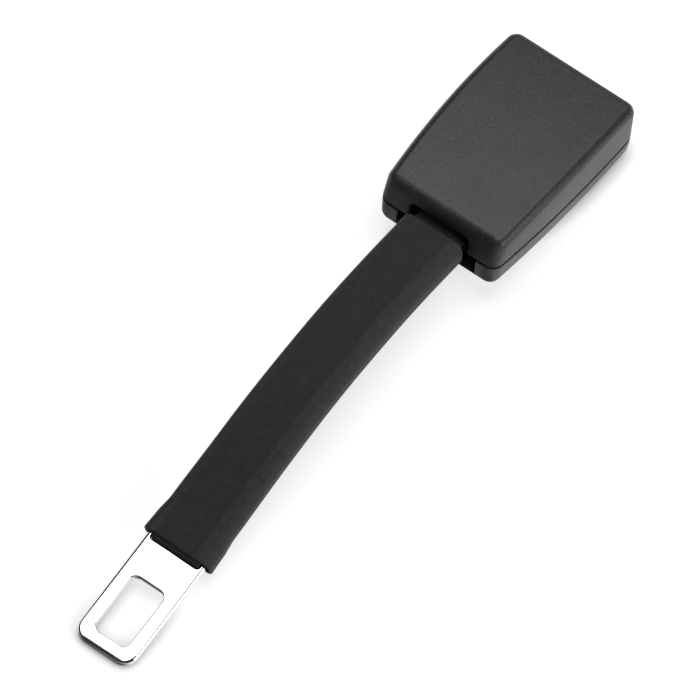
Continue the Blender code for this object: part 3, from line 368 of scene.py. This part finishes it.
def sleeve_station(share, inward, shift):
    """Section of the sleeve at a share of its length, moved inwards and along the belt."""
    start = BELT_TOTAL - SLEEVE_START
    distance = start + (SLEEVE_END - start) * share - shift
    width = interpolate(SLEEVE_WIDTHS, share) * MM - 2 * inward
    thick = interpolate(SLEEVE_THICKS, share) * MM - 2 * inward
    reach = SLEEVE_SIDE - inward
    rise = min(thick * SLEEVE_RISE, thick / 2 - SLEEVE_LEAST_EDGE)
    spot, lift = belt_line(distance)
    return {
        "spot": spot,
        "lift": lift,
        "core": Vector((width / 2 - reach, thick / 2 - rise, 0.0)),
        "corner": Vector((reach, rise, 0.0)),
        "run": distance,
        "slack": 1 - share * HOLLOW_FADE,
    }


def sleeve_lip(share, way):
    """Half round edge from the outer face to the inner one."""
    half = SLEEVE_WALL / 2
    stations = []
    for k in range(1, LIP_STEPS):
        a = math.pi * k / LIP_STEPS
        stations.append(sleeve_station(share, half - half * math.cos(a), way * (half - half * math.sin(a))))
    return stations


def make_sleeve(tree):
    """Soft tube pulled over the webbing, with a rounded cut edge at both ends."""
    back_off = {0: SLEEVE_WALL / 2, SLEEVE_STEPS: -SLEEVE_WALL / 2}
    stations = []
    for k in range(SLEEVE_STEPS, -1, -1):
        stations.append(sleeve_station(k / SLEEVE_STEPS, 0.0, back_off.get(k, 0.0)))
    stations += sleeve_lip(0.0, 1)
    for k in range(SLEEVE_STEPS + 1):
        stations.append(sleeve_station(k / SLEEVE_STEPS, SLEEVE_WALL, back_off.get(k, 0.0)))
    stations += sleeve_lip(1.0, -1)[::-1]
    return sweep(tree, "sleeve_skin", stations, SLEEVE_SECTION_STEPS, "sleeve", {
        "Hollow": HOLLOW_DEPTH,
        "Ripple": RIPPLE_HEIGHT,
        "Ripple Along": RIPPLE_ALONG,
        "Ripple Across": RIPPLE_ACROSS,
    })


# Webbing

def layer_offset(distance):
    """Half distance between the two layers: wide round the steel, closed between."""
    apart = TONGUE_THICK / 2 + LAYER_GAP_AT_STEEL + WEBBING_THICK / 2
    closed = LAYER_GAP_CLOSED + WEBBING_THICK / 2
    from_buckle = smooth((distance - BELT_NEAR) / WEBBING_EASE)
    from_tongue = smooth((BELT_FAR - distance) / WEBBING_EASE)
    return closed + (apart - closed) * max(1 - from_buckle, 1 - from_tongue)


def webbing_line():
    """Middle line of the loop: the upper layer, the fold, the lower layer and the turn at the buckle."""
    first = BELT_NEAR - BAR_LENGTH + BAR_SETBACK
    last = BELT_FAR + BAR_LENGTH - FOLD_SETBACK
    run = [first + (last - first) * k / LOOP_STEPS for k in range(LOOP_STEPS + 1)]
    turn = [math.pi * k / TURN_STEPS for k in range(1, TURN_STEPS)]
    fold = layer_offset(last)
    bar = layer_offset(first)
    places = [(d, layer_offset(d)) for d in run]
    places += [(last + fold * math.sin(a), fold * math.cos(a)) for a in turn]
    places += [(d, -layer_offset(d)) for d in reversed(run)]
    places += [(first - bar * math.sin(a), -bar * math.cos(a)) for a in turn]
    line = []
    for distance, offset in places:
        spot, lift = belt_line(distance)
        line.append(spot + lift * offset)
    return line


def make_webbing(tree):
    """Closed loop of ribbed webbing with rounded selvedges."""
    line = webbing_line()
    stations = []
    run = 0.0
    for i, spot in enumerate(line):
        lane = (line[(i + 1) % len(line)] - line[i - 1]).normalized()
        run += (spot - line[i - 1]).length if i else 0.0
        stations.append({
            "spot": spot,
            "lift": Vector((1.0, 0.0, 0.0)).cross(lane),
            "core": Vector((WEBBING_WIDTH / 2 - SELVEDGE, WEBBING_THICK / 2 - SELVEDGE, 0.0)),
            "corner": Vector((SELVEDGE, SELVEDGE, 0.0)),
            "run": run,
            "slack": 1.0,
        })
    return sweep(tree, "webbing_weave", stations, WEBBING_SECTION_STEPS, "webbing", {
        "Pressed": WEBBING_PRESSED,
        "Rib": RIB_HEIGHT,
        "Rib Pitch": RIB_PITCH,
    })


# Materials

def linear(hex_colour):
    """sRGB hex to linear rgba."""
    parts = [int(hex_colour[i:i + 2], 16) / 255 for i in (1, 3, 5)]
    return [p / 12.92 if p <= 0.04045 else ((p + 0.055) / 1.055) ** 2.4 for p in parts] + [1.0]


def new_material(name):
    """(material, its tree, its principled shader)."""
    made = bpy.data.materials.new(name)
    made.use_nodes = True
    return made, made.node_tree, made.node_tree.nodes["Principled BSDF"]


def fill(tree, shader, inputs):
    """Sets or links the shader's own sockets."""
    for name, value in inputs.items():
        feed(tree, shader.inputs[name], value)


def per_metre(size_mm):
    """Texture scale for features of a real size in mm."""
    return 1.0 / (size_mm * MM)


# Real sizes of marks and grains, in mm
HAND_WORN = 14.0
DENSE_GRAIN = 3.2
CLOUDED_PLATING = 6.0
TOOL_POLISH = 0.3
SLEEVE_GRAIN = 0.45
SLEEVE_MOTTLE = 1.8
YARN_FUZZ = 0.12

# Draw lines per mm across the sleeve, and how little of their change runs along it
DRAW_LINES = 2.2
DRAW_STRETCH = 0.04

# Weave: length of a float by its thread's width, and the twill's step from one thread to the next
FLOAT_LENGTH = 2.2
TWILL_STEP = 0.25

# Fold lines of the flattened sleeve: their middle and the band outside them that is painted paler, a painted
# highlight on the sleeve's sides, in mm
FOLD_MIDDLE = -1.3
FOLD_AND_HIGHLIGHT_BAND = (6.7, 7.9)


def moulded_plastic(name, colour, pale, grain_mm, relief_mm, rough):
    """Black plastic from a spark-eroded tool: fine peppery grain, with painted shade in its pits and a
    painted highlight on its peaks.
    """
    made, tree, shader = new_material(name)
    place = add(tree, "ShaderNodeTexCoord", {}).outputs["Object"]
    pebble = add(tree, "ShaderNodeTexNoise", {
        "Vector": place, "Scale": per_metre(grain_mm), "Detail": 3.0, "Roughness": 0.75,
    }).outputs["Fac"]
    pits = add(tree, "ShaderNodeTexVoronoi", {
        "Vector": place, "Scale": per_metre(grain_mm * 1.3), "Randomness": 1.0,
    }).outputs["Distance"]
    # Slow change of gloss where hands have rubbed the peaks
    handled = add(tree, "ShaderNodeTexNoise", {
        "Vector": place, "Scale": per_metre(HAND_WORN), "Detail": 2.0,
    }).outputs["Fac"]
    height = add(tree, "ShaderNodeMath", {0: pebble, 1: pits}, operation="ADD").outputs[0]
    bump = add(tree, "ShaderNodeBump", {"Height": height, "Distance": relief_mm * MM, "Strength": 1.0})
    # Patches a few millimetres wide where the painted pit shade and peak highlights come out denser
    patches = add(tree, "ShaderNodeTexNoise", {
        "Vector": place, "Scale": per_metre(DENSE_GRAIN), "Detail": 3.0, "Roughness": 0.65,
    }).outputs["Fac"]
    dense = add(tree, "ShaderNodeMath", {0: patches, 1: 0.5}, operation="MULTIPLY").outputs[0]
    dense = add(tree, "ShaderNodeMath", {0: dense, 1: height}, operation="ADD").outputs[0]
    # Painted light: pale peaks are a painted highlight in the base colour, dark pits are painted shade
    peaks = add(tree, "ShaderNodeMapRange", {"Value": dense, "From Min": 0.72, "From Max": 1.6}).outputs[0]
    # Faces turned towards the belt's ends lose the pale peaks, which is painted shade, and are rougher
    end = add(tree, "ShaderNodeAttribute", {}, attribute_name="end_wall_shade").outputs["Fac"]
    gloss = add(tree, "ShaderNodeMapRange", {
        "Value": handled, "To Min": rough - 0.05, "To Max": rough + 0.06,
    }).outputs[0]
    dark = linear(colour)
    peak_highlight = add(tree, "ShaderNodeMix", {0: end, 6: linear(pale), 7: dark}, data_type="RGBA").outputs[2]
    fill(tree, shader, {
        "Base Color": add(tree, "ShaderNodeMix", {0: peaks, 6: dark, 7: peak_highlight}, data_type="RGBA").outputs[2],
        "Roughness": add(tree, "ShaderNodeMapRange", {
            "Value": end, "To Min": gloss, "To Max": 0.7,
        }).outputs[0],
        "Normal": bump.outputs[0],
    })
    return made


def smooth_plastic(name, colour, rough, flow_mm):
    """Unpainted moulding from a polished tool: faint flow marks and a slight waviness."""
    made, tree, shader = new_material(name)
    place = add(tree, "ShaderNodeTexCoord", {}).outputs["Object"]
    flow = add(tree, "ShaderNodeTexNoise", {
        "Vector": place, "Scale": per_metre(flow_mm), "Detail": 4.0, "Distortion": 0.6,
    }).outputs["Fac"]
    fine = add(tree, "ShaderNodeTexNoise", {
        "Vector": place, "Scale": per_metre(TOOL_POLISH), "Detail": 2.0,
    }).outputs["Fac"]
    wave = add(tree, "ShaderNodeBump", {"Height": flow, "Distance": 0.02 * MM, "Strength": 0.6}).outputs[0]
    bump = add(tree, "ShaderNodeBump", {
        "Height": fine, "Distance": 0.006 * MM, "Strength": 1.0, "Normal": wave,
    })
    whitened = add(tree, "ShaderNodeMapRange", {"Value": flow, "To Max": 0.05}).outputs[0]
    fill(tree, shader, {
        "Base Color": add(tree, "ShaderNodeMix", {
            0: whitened, 6: linear(colour), 7: linear("#ffffff"),
        }, data_type="RGBA").outputs[2],
        "Roughness": add(tree, "ShaderNodeMapRange", {
            "Value": flow, "To Min": rough - 0.06, "To Max": rough + 0.08,
        }).outputs[0],
        "Normal": bump.outputs[0],
    })
    return made


def metal(name, colour, dull, rough, line_mm, relief_mm, lengthways, shaded_wall_colour=None):
    """Steel with drawn or polished lines along one direction, cloudy plating and, where a colour is given,
    painted shade and more roughness on the walls facing the belt's ends.
    """
    made, tree, shader = new_material(name)
    place = add(tree, "ShaderNodeTexCoord", {}).outputs["Object"]
    lined = add(tree, "ShaderNodeMapping", {
        "Vector": place, "Scale": (1.0, 1.0 / lengthways, 1.0 / lengthways),
    }).outputs[0]
    lines = add(tree, "ShaderNodeTexNoise", {
        "Vector": lined, "Scale": per_metre(line_mm), "Detail": 3.0,
    }).outputs["Fac"]
    cloud = add(tree, "ShaderNodeTexNoise", {
        "Vector": place, "Scale": per_metre(CLOUDED_PLATING), "Detail": 4.0,
    }).outputs["Fac"]
    bump = add(tree, "ShaderNodeBump", {"Height": lines, "Distance": relief_mm * MM, "Strength": 1.0})
    both = add(tree, "ShaderNodeMath", {0: lines, 1: cloud}, operation="MULTIPLY").outputs[0]
    tone = add(tree, "ShaderNodeMix", {
        0: cloud, 6: linear(colour), 7: linear(dull),
    }, data_type="RGBA").outputs[2]
    gloss = add(tree, "ShaderNodeMapRange", {
        "Value": both, "To Min": rough * 0.7, "To Max": rough * 1.8,
    }).outputs[0]
    if shaded_wall_colour:
        # Walls facing the belt's ends take a dark colour: painted shade, a painted dark reflection
        wall = add(tree, "ShaderNodeAttribute", {}, attribute_name="end_wall_shade").outputs["Fac"]
        tone = add(tree, "ShaderNodeMix", {0: wall, 6: tone, 7: linear(shaded_wall_colour)}, data_type="RGBA").outputs[2]
        gloss = add(tree, "ShaderNodeMapRange", {"Value": wall, "To Min": gloss, "To Max": 0.3}).outputs[0]
    fill(tree, shader, {
        "Base Color": tone,
        "Metallic": 1.0,
        "Roughness": gloss,
        "Normal": bump.outputs[0],
    })
    return made


def sleeve_skin(name):
    """Matt extruded soft plastic: dusty fine grain and faint draw lines that run along the belt."""
    made, tree, shader = new_material(name)
    place = add(tree, "ShaderNodeTexCoord", {}).outputs["Object"]
    across = add(tree, "ShaderNodeAttribute", {}, attribute_name="across_mm").outputs["Fac"]
    along = add(tree, "ShaderNodeAttribute", {}, attribute_name="along_mm").outputs["Fac"]
    stretched = add(tree, "ShaderNodeMapRange", {"Value": along, "To Max": DRAW_STRETCH}).outputs[0]
    flat = add(tree, "ShaderNodeCombineXYZ", {"X": across, "Y": stretched}).outputs[0]
    drawn = add(tree, "ShaderNodeTexNoise", {
        "Vector": flat, "Scale": DRAW_LINES, "Detail": 3.0,
    }).outputs["Fac"]
    grain = add(tree, "ShaderNodeTexNoise", {
        "Vector": place, "Scale": per_metre(SLEEVE_GRAIN), "Detail": 3.0, "Roughness": 0.65,
    }).outputs["Fac"]
    mottle = add(tree, "ShaderNodeTexNoise", {
        "Vector": place, "Scale": per_metre(SLEEVE_MOTTLE), "Detail": 3.0,
    }).outputs["Fac"]
    blend = add(tree, "ShaderNodeMath", {0: grain, 1: mottle}, operation="ADD").outputs[0]
    speckle = add(tree, "ShaderNodeMapRange", {
        "Value": blend, "From Min": 0.55, "From Max": 1.45,
    }).outputs[0]
    # Pressed flat over the webbing, the tube has a fold line each side; outside it the tube is painted paler,
    # a painted highlight on its sides
    shifted = add(tree, "ShaderNodeMath", {0: across, 1: -FOLD_MIDDLE}, operation="ADD").outputs[0]
    outside = add(tree, "ShaderNodeMath", {0: shifted}, operation="ABSOLUTE").outputs[0]
    band = add(tree, "ShaderNodeMapRange", {
        "Value": outside, "From Min": FOLD_AND_HIGHLIGHT_BAND[0], "From Max": FOLD_AND_HIGHLIGHT_BAND[1],
    }).outputs[0]
    fold = add(tree, "ShaderNodeBump", {"Height": band, "Distance": 0.1 * MM, "Strength": 1.0}).outputs[0]
    inner = add(tree, "ShaderNodeMix", {
        0: speckle, 6: linear("#151516"), 7: linear("#2c2c2d"),
    }, data_type="RGBA").outputs[2]
    # Painted highlight: the colours outside the fold lines are paler
    outer = add(tree, "ShaderNodeMix", {
        0: speckle, 6: linear("#202021"), 7: linear("#3a3a3b"),
    }, data_type="RGBA").outputs[2]
    lines = add(tree, "ShaderNodeBump", {
        "Height": drawn, "Distance": 0.03 * MM, "Strength": 0.7, "Normal": fold,
    }).outputs[0]
    bump = add(tree, "ShaderNodeBump", {
        "Height": grain, "Distance": 0.05 * MM, "Strength": 1.0, "Normal": lines,
    })
    fill(tree, shader, {
        "Base Color": add(tree, "ShaderNodeMix", {0: band, 6: inner, 7: outer}, data_type="RGBA").outputs[2],
        "Roughness": add(tree, "ShaderNodeMapRange", {
            "Value": grain, "To Min": 0.66, "To Max": 0.82,
        }).outputs[0],
        "Specular IOR Level": 0.35,
        "Sheen Weight": 0.14,
        "Sheen Roughness": 0.5,
        "Normal": bump.outputs[0],
    })
    return made


def woven(name, colour, pale, thread_mm):
    """Tight polyester weave: warp floats in a broken twill, each thread rounded and slightly glossy, its
    crown painted paler as a painted highlight and its dips darker as painted shade.
    """
    made, tree, shader = new_material(name)
    across = add(tree, "ShaderNodeAttribute", {}, attribute_name="across_mm").outputs["Fac"]
    along = add(tree, "ShaderNodeAttribute", {}, attribute_name="along_mm").outputs["Fac"]
    column = add(tree, "ShaderNodeMath", {0: across, 1: thread_mm}, operation="DIVIDE").outputs[0]
    row = add(tree, "ShaderNodeMath", {0: along, 1: thread_mm * FLOAT_LENGTH}, operation="DIVIDE").outputs[0]
    step = add(tree, "ShaderNodeMath", {0: column}, operation="FLOOR").outputs[0]
    shift = add(tree, "ShaderNodeMath", {0: step, 1: TWILL_STEP}, operation="MULTIPLY").outputs[0]
    phase = add(tree, "ShaderNodeMath", {0: row, 1: shift}, operation="ADD").outputs[0]
    waves = []
    for value in (column, phase):
        part = add(tree, "ShaderNodeMath", {0: value}, operation="FRACT").outputs[0]
        arch = add(tree, "ShaderNodeMath", {0: part, 1: math.pi}, operation="MULTIPLY").outputs[0]
        waves.append(add(tree, "ShaderNodeMath", {0: arch}, operation="SINE").outputs[0])
    height = add(tree, "ShaderNodeMath", {0: waves[0], 1: waves[1]}, operation="MULTIPLY").outputs[0]
    place = add(tree, "ShaderNodeTexCoord", {}).outputs["Object"]
    fuzz = add(tree, "ShaderNodeTexNoise", {
        "Vector": place, "Scale": per_metre(YARN_FUZZ), "Detail": 2.0,
    }).outputs["Fac"]
    threads = add(tree, "ShaderNodeBump", {
        "Height": height, "Distance": 0.16 * MM, "Strength": 1.0,
    }).outputs[0]
    bump = add(tree, "ShaderNodeBump", {
        "Height": fuzz, "Distance": 0.02 * MM, "Strength": 1.0, "Normal": threads,
    })
    fill(tree, shader, {
        # Painted light: thread crowns paler, a painted highlight, and the dips between them darker, painted
        # shade
        "Base Color": add(tree, "ShaderNodeMix", {
            0: height, 6: linear(colour), 7: linear(pale),
        }, data_type="RGBA").outputs[2],
        "Roughness": add(tree, "ShaderNodeMapRange", {
            "Value": height, "To Min": 0.8, "To Max": 0.55,
        }).outputs[0],
        "Sheen Weight": 0.1,
        "Normal": bump.outputs[0],
    })
    return made


FINISHES = {
    # ABS from a spark-eroded tool: a peppery matt grain, its pits painted dark and its peaks painted pale
    # (painted shade and painted highlights), with painted shade on the walls facing the belt's ends
    "housing": moulded_plastic("abs_spark_grained", "#030303", "#39393a", 0.38, 0.026, 0.39),
    # The front cover's colours are painted paler than the back cover's: painted light for its brighter side
    "front": moulded_plastic("abs_spark_grained_front_painted_paler", "#141414", "#484849", 0.42, 0.018, 0.36),
    # ABS from a polished tool: a clear gloss over an even red
    "button": smooth_plastic("abs_red_polished", "#b8140f", 0.3, 5.0),
    # Acetal straight from the mould: a waxy, half-matt skin, black or the resin's own ivory
    "guide": smooth_plastic("acetal_black_moulded", "#151516", 0.4, 4.0),
    "ejector": smooth_plastic("acetal_natural_moulded", "#d5d2c8", 0.42, 4.0),
    # Zinc plate on rolled sheet: a cloudy bluish grey with fine lines along the sheet
    "zinc": metal("steel_zinc_plated", "#b4b6b8", "#8d9093", 0.28, 0.25, 0.004, 8.0),
    # Hardened and tumbled steel: darker, with a soft satin that has hardly any direction
    "hard": metal("steel_hardened_tumbled", "#85878a", "#5c5e61", 0.36, 0.4, 0.006, 1.5),
    # Drawn wire: a clean grey with thin bright streaks
    "wire": metal("steel_drawn_wire", "#a0a2a5", "#74767a", 0.25, 0.15, 0.003, 6.0),
    # Polished chrome plate: a mirror on the faces, rougher on the walls facing the belt's ends, which are
    # painted dark as a painted reflection of shade
    "chrome": metal(
        "steel_chromed_polished", "#f0f1f2", "#e2e4e6", 0.05, 0.12, 0.0008, 30.0, "#2c2d2f",
    ),
    # Extruded soft plastic: a dusty, dry black with a faint bloom at grazing light
    "sleeve": sleeve_skin("tpe_sleeve_extruded"),
    # Polyester weave and thread: rounded black threads, each with a thin silky glint, partly from lower
    # roughness and partly a painted highlight on its crown
    "webbing": woven("polyester_webbing_twill", "#151516", "#303031", 0.42),
    "thread": woven("polyester_thread_twisted", "#111112", "#2a2a2b", 0.3),
}


# Pieces

BODY_OF = {
    node: body for body, members in frame["record"]["behaviour"]["bodies"].items() for node in members
}
NODE_FINISH = {
    "back_cover": "housing",
    "front_cover": "front",
    "release_button": "button",
    "tongue_guide": "guide",
    "ejector": "ejector",
    "frame": "zinc",
    "anchor_plate": "zinc",
    "anchor_rivet_left": "zinc",
    "anchor_rivet_right": "zinc",
    "latch_pin": "zinc",
    "latch": "hard",
    "pin_clip": "wire",
    "button_spring_left": "wire",
    "button_spring_right": "wire",
    "latch_spring": "wire",
    "ejector_spring": "wire",
    "tongue_plate": "chrome",
    "seam_thread": "thread",
}
MERGE_WITHIN = 0.002 * MM
SHARP_ANGLE = math.radians(35)

# How far a face has to turn towards the belt's ends before it gets painted shade as an end wall, and fully so
END_WALL_FROM = 0.5
END_WALL_SPAN = 0.42

# Each coil with its joint, its axis lengthways or under the latch, and the joint's travel: joint, axis,
# travel
LENGTHWAYS = Vector((0.0, math.cos(BUCKLE_PITCH), -math.sin(BUCKLE_PITCH)))
UPWARDS = Vector((0.0, math.sin(BUCKLE_PITCH), math.cos(BUCKLE_PITCH)))
BUTTON_TRAVEL = 5.0 * MM
EJECTOR_TRAVEL = 10.0 * MM
LATCH_TRAVEL = 3.3 * MM
COILS = {
    "button_spring_left": ("button_press", LENGTHWAYS, BUTTON_TRAVEL),
    "button_spring_right": ("button_press", LENGTHWAYS, BUTTON_TRAVEL),
    "latch_spring": ("latch_pivot", UPWARDS, LATCH_TRAVEL),
    "ejector_spring": ("ejector_slide", LENGTHWAYS, EJECTOR_TRAVEL),
}


def compress(coil, joint, axis, travel):
    """Gives a coil a mesh of its own."""
    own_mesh(coil)


def stand_in(thing, node):
    """Lets a finished piece take the place of a plain solid, on that solid's body."""
    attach(thing, BODY_OF[node])
    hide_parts(node)


def refine(node, finish):
    """Merged and smoothly shaded copy of a solid, so that its roundings catch the light as curves."""
    mesh = frame["nodes"][node].data.copy()
    mesh.name = node + "_skin"
    shape = bmesh.new()
    shape.from_mesh(mesh)
    bmesh.ops.remove_doubles(shape, verts=shape.verts, dist=MERGE_WITHIN)
    shape.to_mesh(mesh)
    shape.free()
    for polygon in mesh.polygons:
        polygon.use_smooth = True
    mesh.set_sharp_from_angle(angle=SHARP_ANGLE)
    # Faces turned towards the belt's ends get a share that the housing and the chrome use for painted shade
    turned = [abs(corner.vector.y) for corner in mesh.corner_normals]
    shares = [smooth((share - END_WALL_FROM) / END_WALL_SPAN) for share in turned]
    mesh.attributes.new("end_wall_shade", "FLOAT", "CORNER").data.foreach_set("value", shares)
    mesh.materials.clear()
    mesh.materials.append(FINISHES[finish])
    thing = bpy.data.objects.new(node + "_skin", mesh)
    bpy.context.scene.collection.objects.link(thing)
    weigh = thing.modifiers.new("weigh", "WEIGHTED_NORMAL")
    weigh.keep_sharp = True
    stand_in(thing, node)
    if node in COILS:
        compress(thing, *COILS[node])


# Studio

ROOM_LEVEL = 0.05
GROUND_GLOW = 0.69
CONTACT_REACH = 5.0 * MM
FLOOR_REACH = 3.0
PAPER_FIBRE = 1.5

# Lamps: name, place, point aimed at, width, depth and brightness
LAMPS = (
    ("overhead", (-0.18, 0.355, 1.5), (-0.18, 0.355, 0.0), 1.28, 0.97, 2.75),
    ("overhead_back", (-0.18, 1.49, 1.5), (-0.18, 1.49, 0.0), 1.28, 1.3, 1.75),
    ("right_fill", (1.5, 0.05, 0.7), (0.0, 0.0, 0.02), 1.2, 1.0, 3.4),
    ("right_card", (1.44, 0.67, 0.46), (0.0, -0.1, 0.0), 0.5, 0.35, 0.8),
    ("front_card", (0.3, -1.7, 0.3), (0.0, -0.1, 0.0), 1.4, 0.5, 0.6),
)

# The photo's camera: a long lens 3 m away
AZIMUTH = math.radians(36.89)
ELEVATION = math.radians(60.5)
CAMERA_AIM = Vector((0.012477, -0.012165, 0.045166))
CAMERA_DISTANCE = 3.0
PHOTO_WIDTH = 700.0
PIXELS_PER_METRE = 3364.0
SENSOR_MM = 36.0


def make_floor():
    """Plain pale floor: matt white paper that the camera and the chrome see as a clean white ground."""
    mesh = bpy.data.meshes.new("floor")
    corners = [(x * FLOOR_REACH, y * FLOOR_REACH, 0) for x, y in ((-1, -1), (1, -1), (1, 1), (-1, 1))]
    mesh.from_pydata(corners, [], [(0, 1, 2, 3)])
    floor = bpy.data.objects.new("floor", mesh)
    bpy.context.scene.collection.objects.link(floor)
    paper, tree, shader = new_material("paper_matt_white")
    place = add(tree, "ShaderNodeTexCoord", {}).outputs["Object"]
    fibre = add(tree, "ShaderNodeTexNoise", {
        "Vector": place, "Scale": per_metre(PAPER_FIBRE), "Detail": 2.0,
    }).outputs["Fac"]
    rays = add(tree, "ShaderNodeLightPath", {}).outputs
    seen = rays["Is Camera Ray"]
    for ray in ("Is Glossy Ray", "Is Transmission Ray"):
        seen = add(tree, "ShaderNodeMath", {0: seen, 1: rays[ray]}, operation="MAXIMUM").outputs[0]
    # Open ground glows evenly; near the object ambient occlusion dims the glow where it stands on it, a
    # painted contact shadow
    open_sky = add(tree, "ShaderNodeAmbientOcclusion", {"Distance": CONTACT_REACH}, samples=8).outputs["AO"]
    glow = add(tree, "ShaderNodeMath", {0: seen, 1: open_sky}, operation="MULTIPLY").outputs[0]
    glow = add(tree, "ShaderNodeMath", {0: glow, 1: GROUND_GLOW}, operation="MULTIPLY").outputs[0]
    fill(tree, shader, {
        "Base Color": linear("#c8c8c8"),
        "Roughness": add(tree, "ShaderNodeMapRange", {
            "Value": fibre, "To Min": 0.9, "To Max": 1.0,
        }).outputs[0],
        "Specular IOR Level": 0.1,
        "Emission Color": linear("#ffffff"),
        "Emission Strength": glow,
    })
    mesh.materials.append(paper)


def make_world():
    """Dim room beyond the lamps: it keeps the low edges of plastic and chrome dark."""
    world = bpy.data.worlds.new("studio")
    bpy.context.scene.world = world
    world.use_nodes = True
    back = world.node_tree.nodes["Background"]
    back.inputs["Strength"].default_value = ROOM_LEVEL
    back.inputs["Color"].default_value = linear("#ffffff")


def softbox(name, place, aim, width, depth, brightness):
    """Oblong area lamp of a given brightness, facing a point."""
    lamp = bpy.data.lights.new(name, "AREA")
    lamp.shape = "RECTANGLE"
    lamp.size = width
    lamp.size_y = depth
    lamp.energy = brightness * math.pi * width * depth
    thing = bpy.data.objects.new(name, lamp)
    bpy.context.scene.collection.objects.link(thing)
    thing.location = place
    thing.rotation_euler = (Vector(aim) - Vector(place)).to_track_quat("-Z", "Y").to_euler()
    thing.visible_camera = False


def make_camera():
    """Camera at the photo's angle and scale."""
    level = math.cos(ELEVATION)
    away = Vector((math.sin(AZIMUTH) * level, -math.cos(AZIMUTH) * level, math.sin(ELEVATION)))
    lens = bpy.data.cameras.new("camera")
    lens.lens = SENSOR_MM * PIXELS_PER_METRE * CAMERA_DISTANCE / PHOTO_WIDTH
    lens.clip_start = 0.1
    lens.clip_end = 20.0
    camera = bpy.data.objects.new("camera", lens)
    bpy.context.scene.collection.objects.link(camera)
    camera.location = CAMERA_AIM + away * CAMERA_DISTANCE
    camera.rotation_euler = (-away).to_track_quat("-Z", "Y").to_euler()
    bpy.context.scene.camera = camera


def build():
    """The whole object and its studio."""
    for node, finish in NODE_FINISH.items():
        refine(node, finish)
    tree = sweep_tree()
    stand_in(make_sleeve(tree), "sleeve")
    stand_in(make_webbing(tree), "webbing")
    make_floor()
    make_world()
    for lamp in LAMPS:
        softbox(*lamp)
    make_camera()
    bpy.context.scene.view_settings.view_transform = "Standard"


build()
